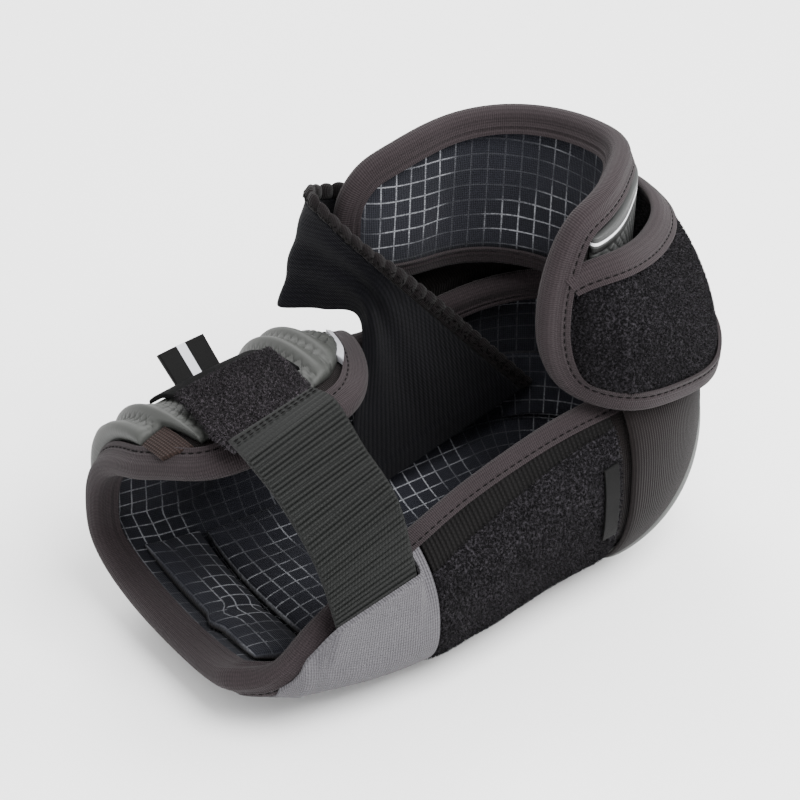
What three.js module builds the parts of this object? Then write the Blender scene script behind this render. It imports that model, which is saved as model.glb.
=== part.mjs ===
// A hockey elbow pad for the right arm, bent at the elbow and lying on its outer side.
// Millimetres, +Z up. The forearm trough runs along +X from the wrist to the elbow,
// the open side of the trough faces up, and the upper-arm sleeve stands over the elbow.
import * as THREE from "three";
import { mergeVertices } from "three/addons/utils/BufferGeometryUtils.js";

// Driving sizes
const GAP = 0.3; // left between pieces that touch
const SEAT = 1; // left under pieces that lie on a curved wall
const PAD = 8; // padded wall of the arm trough
const SLEEVE_PAD = 7; // padded wall of the upper-arm sleeve
const COVER = 1.7; // sewn outer cloth
const PLUSH = 2.2; // brushed loop cloth
const CUSHION = 4; // raised cushions of the liner
const CAP_WALL = 3.5; // moulded elbow cap
const GUARD_WALL = 3; // moulded forearm and upper-arm guards
const RIDGE = 5; // height of the forearm guard's ridges
const CLOTH = 1.6; // elastic sling and strap cloth
const TAPE = 1.5; // binding tape
const TAPE_SEAT = 1.4; // left between the tape and the wall in its fold
const TAPE_LEG = 8.5; // how far the tape reaches onto each face
const NOSE = { out: 0.16, rise: 0.766 }; // shape of the tape's fold, as shares of its half height
const ELBOW_X = 178; // centre of the round elbow end
const SQUARE = 2.5; // power of the trough's section: 2 is round, more is squarer

// The trough's wall, from the wrist on the far side, round the elbow and back on the near side.
// x: place along the arm, turn: plan direction that the wall is pushed out to, in degrees,
// reach: from the middle to the wall, waist: height where the wall stands upright,
// keel: height of the bottom, crown: how far the wall would rise above the waist,
// rim: section angle of its edge, 0 at the bottom and 90 at the waist.
const TROUGH = [
  { x: 4, turn: 90, reach: 66, waist: 45, keel: 14, crown: 46, rim: 160 },
  { x: 13, turn: 90, reach: 67, waist: 46, keel: 11, crown: 50, rim: 176 },
  { x: 26, turn: 90, reach: 67, waist: 49, keel: 6, crown: 52, rim: 182 },
  { x: 60, turn: 90, reach: 68, waist: 51, keel: 1, crown: 54, rim: 184 },
  { x: 88, turn: 90, reach: 68, waist: 53, keel: 0, crown: 53, rim: 181 },
  { x: 102, turn: 90, reach: 67, waist: 55, keel: 0, crown: 51, rim: 170 },
  { x: 112, turn: 90, reach: 67, waist: 57, keel: 0, crown: 50, rim: 145 },
  { x: 122, turn: 90, reach: 66, waist: 59, keel: 0, crown: 49, rim: 111 },
  { x: 150, turn: 90, reach: 65, waist: 60, keel: 0, crown: 49, rim: 108 },
  { x: ELBOW_X, turn: 90, reach: 64, waist: 60, keel: 0, crown: 50, rim: 116 },
  { x: ELBOW_X, turn: 45, reach: 65, waist: 60, keel: 0, crown: 52, rim: 124 },
  { x: ELBOW_X, turn: 0, reach: 67, waist: 60, keel: 0, crown: 52, rim: 126 },
  { x: ELBOW_X, turn: -45, reach: 64, waist: 60, keel: 0, crown: 52, rim: 126 },
  { x: ELBOW_X, turn: -90, reach: 61, waist: 56, keel: 0, crown: 50, rim: 130 },
  { x: 150, turn: -90, reach: 61, waist: 51, keel: 0, crown: 48, rim: 134 },
  { x: 122, turn: -90, reach: 63, waist: 43, keel: 0, crown: 46, rim: 138 },
  { x: 112, turn: -90, reach: 64, waist: 40, keel: 0, crown: 45, rim: 139 },
  { x: 102, turn: -90, reach: 64, waist: 38, keel: 0, crown: 43, rim: 139 },
  { x: 88, turn: -90, reach: 65, waist: 36, keel: 0, crown: 40, rim: 138 },
  { x: 60, turn: -90, reach: 63, waist: 34, keel: 1, crown: 36, rim: 130 },
  { x: 26, turn: -90, reach: 57, waist: 34, keel: 6, crown: 34, rim: 102 },
  { x: 13, turn: -90, reach: 51, waist: 34, keel: 11, crown: 32, rim: 70 },
  { x: 4, turn: -90, reach: 47, waist: 34, keel: 14, crown: 31, rim: 50 },
];
const LAST = TROUGH.length - 1;
const WRIST = TROUGH[0].x;
const ELBOW_FAR = TROUGH.findIndex((row) => row.x === ELBOW_X);
const ELBOW_NEAR = LAST - ELBOW_FAR;

// The upper-arm sleeve, a wall open towards the wrist.
// turn: plan angle from the back of the elbow, far side positive, low and top: heights of its edges.
const SLEEVE_X = 164; // middle of its round back
const SLEEVE_Y = 5; // how far its middle lies to the far side
const SLEEVE_DEPTH = 45; // from there to the back of the wall's inside
const SLEEVE_HALF = { far: 50, near: 38 }; // from its middle to the wall's inside on each side
const SLEEVE_FLAT = { far: 0, near: 0.1 }; // how far each side's round corner is pressed in, as a share
const SLEEVE_LEAN = 0.05; // how far the wall leans to the back for each millimetre up
const SLEEVE_FLARE = { far: 7, near: -4 }; // how fast its two ends open out towards the wrist
const SLEEVE = [
  { turn: -105, low: 139, top: 147 },
  { turn: -101, low: 133, top: 161 },
  { turn: -90, low: 118, top: 172 },
  { turn: -55, low: 101, top: 176 },
  { turn: 0, low: 103, top: 173 },
  { turn: 55, low: 105, top: 170 },
  { turn: 100, low: 106, top: 165 },
  { turn: 131, low: 110, top: 157 },
  { turn: 140, low: 120, top: 146 },
];

// Where the elbow cap ends, as section angles, and how far it wraps round, in plan degrees.
const CAP = { turn: 86, floor: 12, side: 38, back: 98 };
// The woven elbow cover starts above the cap, rises over the trough's edge, bends in and ends on the sleeve.
// start and bend: degrees from the cap and from the trough's edge, over: clearance over the binding tape,
// foot: share of its stand-off at its lower edge, top: height of its upper edge, end: its last plan turn,
// onward: degrees past the elbow's far side for each row of the trough's table.
const ELBOW_COVER = { start: 4, bend: 3, over: 2, foot: 0.2, top: 113, end: 108, onward: 30 };
// Moulded forearm guard on the far side: its stretch of the arm, its edges and its ridges.
// Near the wrist its upper edge starts lower, below a mesh panel, and it has risen by that panel's end.
const GUARD = {
  from: 17,
  to: 102,
  low: 40,
  high: 171,
  edge: 14,
  ahead: 8, // its upper edge keeps clear of the binding this much further along
  ridges: [18, 26, 81, 90],
  ridgeWidth: 4,
};
const GUARD_MESH = { from: 17, to: 27, low: 152, edge: 15, end: 40, below: 2 };
const LIGHT_STRIP = { from: 95, to: 105, low: 12.5, high: 8, thick: 1.6 }; // low and high: below the edge ahead
const SLEEVE_GUARD = { from: -85, to: 62, low: 132, edge: 11.5 };
// Strap end on the guard: its stretch of the arm, the section angles of its two layers and how far the
// patch slants along the arm for each degree.
const STRAP_END = { left: 32, right: 75, hook: [126, 170], patch: [144, 180], slant: -0.18 };
const PULL_TAB = { angle: 123, left: 47, right: 68, reach: 17, thick: 1.6 };
const COVER_FAR = 28; // section angle on the far side where the covers under the bottom end
const SIDE_TAG = { from: 164, to: 171, low: -104, high: -76, thick: 0.9 };
// Webbing from the guard's edge over to the near side, gathered where it ends: a row for each bend.
const STRAP_OVER = [
  { leftX: 23, leftY: -12, leftZ: 114.8, rightX: 67.5, rightY: -2, rightZ: 115.2 },
  { leftX: 25.5, leftY: -22, leftZ: 108.5, rightX: 70.5, rightY: -14, rightZ: 114.6 },
  { leftX: 30.5, leftY: -35, leftZ: 95, rightX: 72, rightY: -30, rightZ: 102 },
  { leftX: 33.5, leftY: -53, leftZ: 76, rightX: 73, rightY: -51, rightZ: 88.5 },
  { leftX: 33.5, leftY: -67, leftZ: 54, rightX: 70.5, rightY: -67, rightZ: 62 },
];
// Elastic sling: from the outside of the sleeve's far end, round it and down into the trough.
// A row for each bend, with the two edges of the cloth.
const SLING = [
  { lowX: 156, lowY: 77, lowZ: 107, highX: 156, highY: 74, highZ: 134 },
  { lowX: 124, lowY: 81, lowZ: 99, highX: 126, highY: 76, highZ: 141 },
  { lowX: 106, lowY: 80, lowZ: 95, highX: 113, highY: 67, highZ: 149 },
  { lowX: 119, lowY: 68, lowZ: 95, highX: 114, highY: 56, highZ: 145 },
  { lowX: 129, lowY: 53, lowZ: 92, highX: 131, highY: 46, highZ: 122 },
  { lowX: 117, lowY: 43, lowZ: 50, highX: 164, highY: 42, highZ: 82 },
  { lowX: 110, lowY: 36, lowZ: 18, highX: 199, highY: 37, highZ: 40 },
];
const EDGING = { width: 6, puff: 1, edge: 1 }; // the sling's stitched edging, its fullness and its rounding
// Plush strap round the outside of the sleeve: the heights of its two edges and how far each stands off
// the sleeve's inside.
const WRAP_SWELL = 0.8; // how far the strap bulges between its edges, as a share of its spread
const WRAP = [
  { turn: -105, low: 122, top: 144, lowOut: 7.4, topOut: 7.4 },
  { turn: -101, low: 108, top: 148, lowOut: 7.6, topOut: 7.5 },
  { turn: -97, low: 103, top: 150, lowOut: 8, topOut: 7.7 },
  { turn: -93.5, low: 100, top: 152, lowOut: 9.4, topOut: 7.9 },
  { turn: -89, low: 98, top: 154, lowOut: 18, topOut: 11 },
  { turn: -82, low: 96, top: 155, lowOut: 30, topOut: 15 },
  { turn: -55, low: 91, top: 151, lowOut: 44.5, topOut: 18 },
  { turn: -20, low: 87, top: 148, lowOut: 46.5, topOut: 20 },
  { turn: 20, low: 86, top: 146, lowOut: 43.5, topOut: 20 },
  { turn: 55, low: 89, top: 146, lowOut: 35, topOut: 17 },
  { turn: 84, low: 98, top: 144, lowOut: 22, topOut: 16 },
  { turn: 92, low: 106, top: 136, lowOut: 20, topOut: 16 },
];
// Plan turns between which the front tape changes from holding sleeve and strap together to holding one.
const FRONT_TAPE = { rim: [-99, -94], hem: [-103, -97] };
const STRAP_TAPE_START = -83; // plan turn where the tape of the strap's upper edge begins
const SLEEVE_HEM = { from: -88, to: 132 }; // plan turns of the tape along the sleeve's lower edge
const SLEEVE_FOOT = 103; // height that the sleeve leans from
const SLEEVE_MIDDLE = 135; // height halfway up the sleeve
const REST = -SEAT - 1; // height that the covers are flattened to where they lie on the surface
const COLORS = {
  liner: 0x25252b,
  tape: 0x4a4142,
  knit: 0x8f8b90,
  loop: 0x242126,
  mesh: 0x1a1819,
  woven: 0x3a3231,
  rubber: 0x62635f,
  plush: 0x37323a,
  webbing: 0x2a2c2a,
  sling: 0x1d1d23,
  strip: 0xb9b9bd,
};

const rad = THREE.MathUtils.degToRad;
const lerp = THREE.MathUtils.lerp;

// Value of a table column at a place between its rows, on a smooth curve through them.
function smooth(rows, column, place) {
  const i = Math.min(Math.max(Math.floor(place), 0), rows.length - 2);
  const at = (k) => rows[Math.min(Math.max(k, 0), rows.length - 1)][column];
  const t = place - i;
  const start = (at(i + 1) - at(i - 1)) / 2;
  const end = (at(i + 2) - at(i)) / 2;
  const t2 = t * t;
  const t3 = t2 * t;
  const later = 3 * t2 - 2 * t3;
  return at(i) * (1 - later) + at(i + 1) * later + start * (t3 - 2 * t2 + t) + end * (t3 - t2);
}

// Value of a table column at a place, on straight lines between the rows.
function straight(rows, column, place) {
  const i = Math.min(Math.max(Math.floor(place), 0), rows.length - 2);
  return lerp(rows[i][column], rows[i + 1][column], place - i);
}

// Row number, with its fraction, where a rising or falling column has a value.
function placeOf(rows, column, value, from, to) {
  for (let i = from; i < to; i += 1) {
    const a = rows[i][column];
    const b = rows[i + 1][column];
    if (a !== b && (value - a) * (value - b) <= 0) return i + (value - a) / (b - a);
  }
  return Math.abs(value - rows[from][column]) < Math.abs(value - rows[to][column]) ? from : to;
}

const power = (value) => Math.sign(value) * Math.abs(value) ** (2 / SQUARE);

// Point of the trough's outer face at a table place and a section angle, 0 at the bottom.
function troughFace(place, angle) {
  const reach = smooth(TROUGH, "reach", place);
  const waist = smooth(TROUGH, "waist", place);
  const keel = smooth(TROUGH, "keel", place);
  const crown = smooth(TROUGH, "crown", place);
  const turn = rad(straight(TROUGH, "turn", place));
  const across = reach * power(Math.sin(rad(angle)));
  const rise = power(Math.cos(rad(angle)));
  return new THREE.Vector3(
    straight(TROUGH, "x", place) + across * Math.cos(turn),
    across * Math.sin(turn),
    waist - rise * (rise > 0 ? waist - keel : crown),
  );
}

const rimAngle = (place) => smooth(TROUGH, "rim", place);

// Outward direction of a face, measured from its neighbours and checked against its middle.
function outward(face, u, v, stepU, stepV, limitsU, middle) {
  const here = face(u, v);
  const alongU = face(Math.min(u + stepU, limitsU[1]), v).sub(face(Math.max(u - stepU, limitsU[0]), v));
  const alongV = face(u, v + stepV).sub(face(u, v - stepV));
  const normal = alongU.cross(alongV).normalize();
  return normal.dot(here.clone().sub(middle)) < 0 ? normal.negate() : normal;
}

// Point at a distance outside the trough's outer face.
function trough(place, angle, distance) {
  const point = troughFace(place, angle);
  if (angle < 1) return point.add(new THREE.Vector3(0, 0, -distance));
  const middle = new THREE.Vector3(straight(TROUGH, "x", place), 0, smooth(TROUGH, "waist", place));
  const normal = outward(troughFace, place, angle, 0.05, 0.5, [0, LAST], middle);
  return point.addScaledVector(normal, distance);
}

// The straight stretch of the trough by its place along the arm and a signed angle, far side positive.
const farPlace = (x) => placeOf(TROUGH, "x", x, 0, ELBOW_FAR);
const nearPlace = (x) => LAST - farPlace(x);
function arm(x, angle, distance) {
  return trough(angle < 0 ? nearPlace(x) : farPlace(x), Math.abs(angle), distance);
}
const farRim = (x) => rimAngle(farPlace(x));
const nearRim = (x) => rimAngle(nearPlace(x));

// The round elbow end by the plan direction, far side positive, and the section angle.
const elbowPlace = (turn) => placeOf(TROUGH, "turn", turn, ELBOW_FAR, ELBOW_NEAR);
const elbow = (turn, angle, distance) => trough(elbowPlace(turn), angle, distance);

// Plan direction pushed straight on past a quarter turn, so that the sleeve's ends run forward.
function sleeveFace(turn, height) {
  const over = rad(Math.max(Math.abs(turn) - 90, 0));
  const bent = rad(THREE.MathUtils.clamp(turn, -90, 90));
  const lean = SLEEVE_LEAN * (height - SLEEVE_FOOT);
  const side = turn > 0 ? "far" : "near";
  const size = 1 - SLEEVE_FLAT[side] * Math.sin(2 * bent) ** 2;
  return new THREE.Vector3(
    SLEEVE_X + lean + SLEEVE_DEPTH * (size * Math.cos(bent) - over),
    SLEEVE_Y + size * (SLEEVE_HALF[side] + SLEEVE_FLARE[side] * over * over) * Math.sin(bent),
    height,
  );
}

// Point at a distance outside the sleeve's inner face.
function sleeve(turn, height, distance) {
  const middle = new THREE.Vector3(SLEEVE_X - SLEEVE_DEPTH, 0, height);
  const limits = [SLEEVE[0].turn - 5, SLEEVE[SLEEVE.length - 1].turn + 5];
  const normal = outward(sleeveFace, turn, height, 1, 1, limits, middle);
  return sleeveFace(turn, height).addScaledVector(normal.setZ(0).normalize(), distance);
}

const sleevePlace = (turn) => placeOf(SLEEVE, "turn", turn, 0, SLEEVE.length - 1);
const sleeveLow = (turn) => smooth(SLEEVE, "low", sleevePlace(turn));
const sleeveTop = (turn) => smooth(SLEEVE, "top", sleevePlace(turn));

// Closed solid from a list of triangles, with its faces turned outwards.
function closedSolid(triangles) {
  const raw = new THREE.BufferGeometry();
  const flat = triangles.flat().flatMap((p) => [p.x, p.y, p.z]);
  raw.setAttribute("position", new THREE.Float32BufferAttribute(flat, 3));
  const merged = mergeVertices(raw, 1e-3);
  const kept = [];
  const position = merged.getAttribute("position");
  const corner = (i) => new THREE.Vector3().fromBufferAttribute(position, i);
  let volume = 0;
  for (let i = 0; i < merged.index.count; i += 3) {
    const [a, b, c] = [0, 1, 2].map((k) => merged.index.getX(i + k));
    if (a === b || b === c || c === a) continue;
    kept.push([a, b, c]);
    volume += corner(a).dot(corner(b).cross(corner(c)));
  }
  merged.setIndex(kept.flatMap(([a, b, c]) => (volume < 0 ? [a, c, b] : [a, b, c])));
  merged.computeVertexNormals();
  return merged;
}

const quad = (a, b, c, d) => [
  [a, b, c],
  [a, c, d],
];

// Evenly spaced values from one end to the other.
function spread(from, to, steps) {
  return Array.from({ length: steps + 1 }, (_, i) => lerp(from, to, i / steps));
}
const even = (steps) => spread(0, 1, steps);

// Wall over a patch of a face. us: places along it, range(u): its two edges, shares: places between them,
// inner and outer: its distances from the face, as numbers or functions of u and the share across.
// open: true where the first edge closes on itself, as the trough's two sides do along the bottom,
// rests: true where its outside is flattened by the surface that it lies on.
function wall({ face, us, range, shares, inner, outer, open = false, rests = false }) {
  const steps = shares.length - 1;
  const depth = (value, u, share) => (typeof value === "function" ? value(u, share) : value);
  const layer = (value) =>
    us.map((u) => {
      const [from, to] = range(u);
      return shares.map((share) => face(u, lerp(from, to, share), depth(value, u, share)));
    });
  const low = layer(inner);
  const high = layer(outer);
  if (rests) high.flat().forEach((point) => point.setZ(Math.max(point.z, REST)));
  const triangles = [];
  for (let i = 0; i + 1 < us.length; i += 1) {
    for (let j = 0; j < steps; j += 1) {
      triangles.push(...quad(high[i][j], high[i + 1][j], high[i + 1][j + 1], high[i][j + 1]));
      triangles.push(...quad(low[i][j], low[i][j + 1], low[i + 1][j + 1], low[i + 1][j]));
    }
    if (!open) triangles.push(...quad(low[i][0], low[i + 1][0], high[i + 1][0], high[i][0]));
    triangles.push(...quad(low[i][steps], high[i][steps], high[i + 1][steps], low[i + 1][steps]));
  }
  const end = us.length - 1;
  for (let j = 0; j < steps; j += 1) {
    triangles.push(...quad(low[0][j], high[0][j], high[0][j + 1], low[0][j + 1]));
    triangles.push(...quad(low[end][j], low[end][j + 1], high[end][j + 1], high[end][j]));
  }
  return closedSolid(triangles);
}

// Bar through a line of rings that all have the same number of points.
function bar(rings, looped = false) {
  const count = rings[0].length;
  const triangles = [];
  const last = rings.length - 1;
  for (let i = 0; i < (looped ? rings.length : last); i += 1) {
    const here = rings[i];
    const next = rings[(i + 1) % rings.length];
    for (let k = 0; k < count; k += 1) {
      const m = (k + 1) % count;
      triangles.push(...quad(here[k], next[k], next[m], here[m]));
    }
  }
  if (!looped) {
    const first = flatFaces(rings[0]);
    const second = flatFaces(rings[last]);
    triangles.push(...first.map((face) => face.map((k) => rings[0][k])));
    triangles.push(...second.map((face) => face.toReversed().map((k) => rings[last][k])));
  }
  return closedSolid(triangles);
}

// Triangles that fill a flat ring of points, turned the way that the ring runs.
function flatFaces(ring) {
  const normal = new THREE.Vector3();
  ring.forEach((point, k) => normal.add(point.clone().cross(ring[(k + 1) % ring.length])));
  const flat = new THREE.Quaternion().setFromUnitVectors(normal.normalize(), new THREE.Vector3(0, 0, 1));
  const outline = ring.map((point) => {
    const turned = point.clone().sub(ring[0]).applyQuaternion(flat);
    return new THREE.Vector2(turned.x, turned.y);
  });
  return THREE.ShapeUtils.triangulateShape(outline, []).map((face) =>
    THREE.ShapeUtils.isClockWise(face.map((k) => outline[k])) ? face.toReversed() : face,
  );
}

// Binding tape folded over the edge of a wall. Each station has the wall's two distances, inner and outer,
// and at(inset, distance), a point that far in from the edge.
function tape(stations, looped = false) {
  const rings = stations.map(({ at, inner, outer }) => {
    const half = (outer - inner) / 2 + TAPE_SEAT;
    const middle = (inner + outer) / 2;
    const edge = at(0, middle);
    const side = edge.clone().sub(at(1, middle)).normalize();
    const up = at(0, outer).sub(at(0, inner)).normalize();
    const past = (along, rise) => edge.clone().addScaledVector(side, along).addScaledVector(up, rise);
    const tip = TAPE_SEAT + TAPE + half * NOSE.out;
    const nose = [NOSE.rise, -NOSE.rise].map((share) => past(tip, (half + TAPE) * share));
    const insets = [TAPE_LEG, TAPE_LEG / 2, 0];
    return [
      ...insets.map((inset) => at(inset, middle + half + TAPE)),
      ...nose,
      ...insets.toReversed().map((inset) => at(inset, middle - half - TAPE)),
      ...insets.slice(0, 2).map((inset) => at(inset, middle - half)),
      past(TAPE_SEAT, -half),
      past(TAPE_SEAT, half),
      ...insets.slice(0, 2).toReversed().map((inset) => at(inset, middle + half)),
    ];
  });
  return bar(rings, looped);
}

// Stations along an edge that runs through places of a face. Each place has u, v and the wall's two
// distances, inside: a place that the edge's inner side faces.
function edgeStations(face, places, inside) {
  const metric = ({ u, v }) => ({
    u: face(u + 0.05, v, 0).distanceTo(face(u - 0.05, v, 0)) / 0.1,
    v: face(u, v + 0.5, 0).distanceTo(face(u, v - 0.5, 0)),
  });
  return places.map((place, i) => {
    const { u, v, inner, outer } = place;
    const before = places[Math.max(i - 1, 0)];
    const after = places[Math.min(i + 1, places.length - 1)];
    const scale = metric(place);
    const goal = inside(place);
    const inward = new THREE.Vector2((before.v - after.v) * scale.v, (after.u - before.u) * scale.u);
    const towards = new THREE.Vector2((goal.u - u) * scale.u, (goal.v - v) * scale.v);
    inward.normalize();
    if (inward.dot(towards) < 0) inward.negate();
    const stepU = inward.x / scale.u;
    const stepV = inward.y / scale.v;
    const at = (inset, distance) => face(u + stepU * inset, v + stepV * inset, distance);
    return { at, inner, outer };
  });
}

const group = new THREE.Group();

// Adds a piece with its own material.
function piece(name, geometry, color, roughness, metalness = 0) {
  const mesh = new THREE.Mesh(geometry, new THREE.MeshStandardMaterial({ color, roughness, metalness }));
  mesh.name = name;
  group.add(mesh);
  return mesh;
}

// Trough: pad, binding tape round its whole edge, and cushions of the liner
const padPlaces = [
  ...spread(0, ELBOW_FAR, ELBOW_FAR * 2),
  ...spread(ELBOW_FAR, ELBOW_NEAR, (ELBOW_NEAR - ELBOW_FAR) * 4).slice(1),
  ...spread(ELBOW_NEAR, LAST, (LAST - ELBOW_NEAR) * 2).slice(1),
];
const padShape = {
  face: trough,
  us: padPlaces,
  range: (place) => [0, rimAngle(place)],
  shares: [...spread(0, 0.88, 8), 0.94, 1],
  inner: -PAD,
  outer: 0,
  open: true,
};
piece("arm_pad", wall(padShape), COLORS.liner, 0.9);
const padWall = { inner: -PAD, outer: 0 };
const rimPlaces = padPlaces.map((place) => ({ u: place, v: rimAngle(place), ...padWall }));
const wristStation = (angle) => ({
  at: (inset, distance) => arm(WRIST + inset, angle, distance),
  ...padWall,
});
const wristAngles = spread(-TROUGH[LAST].rim, TROUGH[0].rim, 14).slice(1, -1);
const armEdge = [
  ...edgeStations(trough, rimPlaces, ({ u }) => ({ u, v: 0 })),
  ...wristAngles.map(wristStation),
];
piece("arm_binding", tape(armEdge, true), COLORS.tape, 0.95);

// Height of a cushion's crown over its share across, low at both edges.
const crown = (share) => CUSHION * Math.sin(Math.PI * lerp(0.12, 0.88, share)) ** 0.5;
for (const { name, face, from, to, low, high } of [
  { name: "wrist_cushion", face: arm, from: 17, to: 43, low: -30, high: 52 },
  { name: "forearm_cushion", face: arm, from: 46, to: 104, low: -44, high: 50 },
  { name: "elbow_cushion", face: elbow, from: -70, to: 70, low: 50, high: 84 },
]) {
  const base = -PAD - TAPE_SEAT;
  const shape = {
    face,
    us: spread(from, to, 8),
    range: () => [low, high],
    shares: even(6),
    inner: (u, share) => base - crown(share),
    outer: base,
  };
  piece(name, wall(shape), COLORS.liner, 0.9);
}

// Outer covers of the trough, on the near side and under the bottom.
// below: degrees from the near edge down to the cover, width: its degrees across, or on to the far side.
for (const { name, from, to, below, width, cells, color } of [
  { name: "knit_panel", from: 27, to: 81, below: 24, cells: 10, color: COLORS.knit },
  { name: "loop_panel", from: 82, to: 174, below: 38, cells: 10, color: COLORS.loop },
  { name: "mesh_strip", from: 82, to: 174, below: 15, width: 22, cells: 3, color: COLORS.mesh },
]) {
  const shape = {
    face: arm,
    us: spread(from, to, 8),
    range: (x) => {
      const start = below - nearRim(x);
      return [start, width ? start + width : COVER_FAR];
    },
    shares: even(cells),
    inner: SEAT,
    outer: SEAT + COVER,
    rests: true,
  };
  piece(name, wall(shape), color, 0.95);
}
const tagBase = 2 * SEAT + COVER;
const tagShape = {
  face: arm,
  us: [SIDE_TAG.from, SIDE_TAG.to],
  range: () => [SIDE_TAG.low, SIDE_TAG.high],
  shares: even(4),
  inner: tagBase,
  outer: tagBase + SIDE_TAG.thick,
};
piece("side_tag", wall(tagShape), COLORS.mesh, 0.7);

// Elbow: moulded cap and the woven cover that rises from it to the sleeve
const capEdge = (turn) => lerp(CAP.side, CAP.back, Math.max(Math.cos(rad(turn)), 0));
const capShape = {
  face: elbow,
  us: spread(-CAP.turn, CAP.turn, 16),
  range: (turn) => [CAP.floor, capEdge(turn)],
  shares: even(5),
  inner: SEAT,
  outer: SEAT + CAP_WALL,
  rests: true,
};
piece("elbow_cap", wall(capShape), COLORS.rubber, 0.6);

// The cover runs on past the far side of the elbow, along the trough's straight stretch.
const coverPlace = (turn) =>
  turn > 90 ? ELBOW_FAR - (turn - 90) / ELBOW_COVER.onward : elbowPlace(turn);
// The cover's face: share 0 to 1 lies on the trough, 1 to 2 bridges over to the sleeve.
function coverFace(turn, share, distance) {
  const seat = TAPE_SEAT + TAPE + ELBOW_COVER.over;
  const place = coverPlace(turn);
  const start = capEdge(turn) + ELBOW_COVER.start;
  const bend = rimAngle(place) - ELBOW_COVER.bend;
  if (share <= 1) {
    const lift = seat * lerp(ELBOW_COVER.foot, 1, share ** 3);
    return trough(place, lerp(start, bend, share), distance + lift);
  }
  const top = sleeve(turn, ELBOW_COVER.top, SLEEVE_PAD + seat + distance);
  return trough(place, bend, distance + seat).lerp(top, share - 1);
}
const coverShape = {
  face: coverFace,
  us: spread(-90, ELBOW_COVER.end, 20),
  range: () => [0, 2],
  shares: even(8),
  inner: SEAT,
  outer: SEAT + COVER,
};
piece("elbow_cover", wall(coverShape), COLORS.woven, 0.95);

// Forearm guard: moulded, with ridges across both ends
function guardDepth(x, share) {
  const ridges = GUARD.ridges.reduce((sum, at) => sum + Math.exp(-(((x - at) / GUARD.ridgeWidth) ** 2)), 0);
  const fade = Math.sin(Math.PI * lerp(0.1, 0.95, share)) ** 0.7;
  return SEAT + GUARD_WALL + RIDGE * Math.min(ridges, 1) * fade;
}
const guardRise = (x) => THREE.MathUtils.smoothstep(x, GUARD_MESH.to, GUARD_MESH.end);
const guardHigh = (x) => lerp(GUARD_MESH.low - GUARD_MESH.below, GUARD.high, guardRise(x));
const guardShape = {
  face: arm,
  us: spread(GUARD.from, GUARD.to, 24),
  range: (x) => [GUARD.low, Math.min(guardHigh(x), farRim(x + GUARD.ahead) - GUARD.edge)],
  shares: even(8),
  inner: SEAT,
  outer: guardDepth,
};
piece("forearm_guard", wall(guardShape), COLORS.rubber, 0.6);
const guardMeshShape = {
  face: arm,
  us: spread(GUARD_MESH.from, GUARD_MESH.to, 6),
  range: (x) => [GUARD_MESH.low, farRim(x) - GUARD_MESH.edge],
  shares: even(3),
  inner: SEAT,
  outer: SEAT + COVER,
};
piece("guard_mesh", wall(guardMeshShape), COLORS.woven, 0.95);
const stripShape = {
  face: arm,
  us: spread(LIGHT_STRIP.from, LIGHT_STRIP.to, 6),
  range: (x) => [LIGHT_STRIP.low, LIGHT_STRIP.high].map((below) => farRim(x + GUARD.ahead) - below),
  shares: even(2),
  inner: SEAT,
  outer: SEAT + LIGHT_STRIP.thick,
};
piece("light_strip", wall(stripShape), COLORS.strip, 0.6);

// Strap across the forearm: hook tab and plush patch on the guard, webbing over to the near side
const hookBase = 2 * SEAT + GUARD_WALL;
const patchBase = hookBase + COVER + SEAT;
const patchFace = (x, angle, distance) =>
  arm(x + STRAP_END.slant * (angle - STRAP_END.patch[0]), angle, distance);
const strapLayer = (face, angles, base, thick) => ({
  face,
  us: spread(STRAP_END.left, STRAP_END.right, 5),
  range: () => angles,
  shares: even(6),
  inner: base,
  outer: base + thick,
});
piece("hook_tab", wall(strapLayer(arm, STRAP_END.hook, hookBase, COVER)), COLORS.webbing, 0.8);
piece("strap_patch", wall(strapLayer(patchFace, STRAP_END.patch, patchBase, PLUSH)), COLORS.plush, 1);
const pullFace = (x, reach, distance) => arm(x, PULL_TAB.angle + distance, reach);
const pullShape = {
  face: pullFace,
  us: spread(PULL_TAB.left, PULL_TAB.right, 2),
  range: () => [hookBase, hookBase + PULL_TAB.reach],
  shares: even(2),
  inner: -PULL_TAB.thick / 2,
  outer: PULL_TAB.thick / 2,
};
piece("pull_tab", wall(pullShape), COLORS.webbing, 0.8);

// Point of a sheet that runs through a table's rows, at a place and a share across.
function sheetPoint(rows, low, high, place, share) {
  const from = new THREE.Vector3(...low.map((column) => smooth(rows, column, place)));
  const to = new THREE.Vector3(...high.map((column) => smooth(rows, column, place)));
  return from.lerp(to, share);
}

// The same, pushed off along the sheet's own normal.
function sheetFace(rows, low, high) {
  return (place, share, distance) => {
    const at = (p, s) => sheetPoint(rows, low, high, THREE.MathUtils.clamp(p, 0, rows.length - 1), s);
    const along = at(place + 0.05, share).sub(at(place - 0.05, share));
    const across = at(place, 1).sub(at(place, 0));
    return at(place, share).addScaledVector(along.cross(across).normalize(), distance);
  };
}
const webbing = sheetFace(STRAP_OVER, ["leftX", "leftY", "leftZ"], ["rightX", "rightY", "rightZ"]);
const webbingShape = {
  face: webbing,
  us: spread(0, STRAP_OVER.length - 1, 16),
  range: () => [0, 1],
  shares: even(2),
  inner: -CLOTH / 2,
  outer: CLOTH / 2,
};
piece("forearm_webbing", wall(webbingShape), COLORS.webbing, 0.7);

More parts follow.
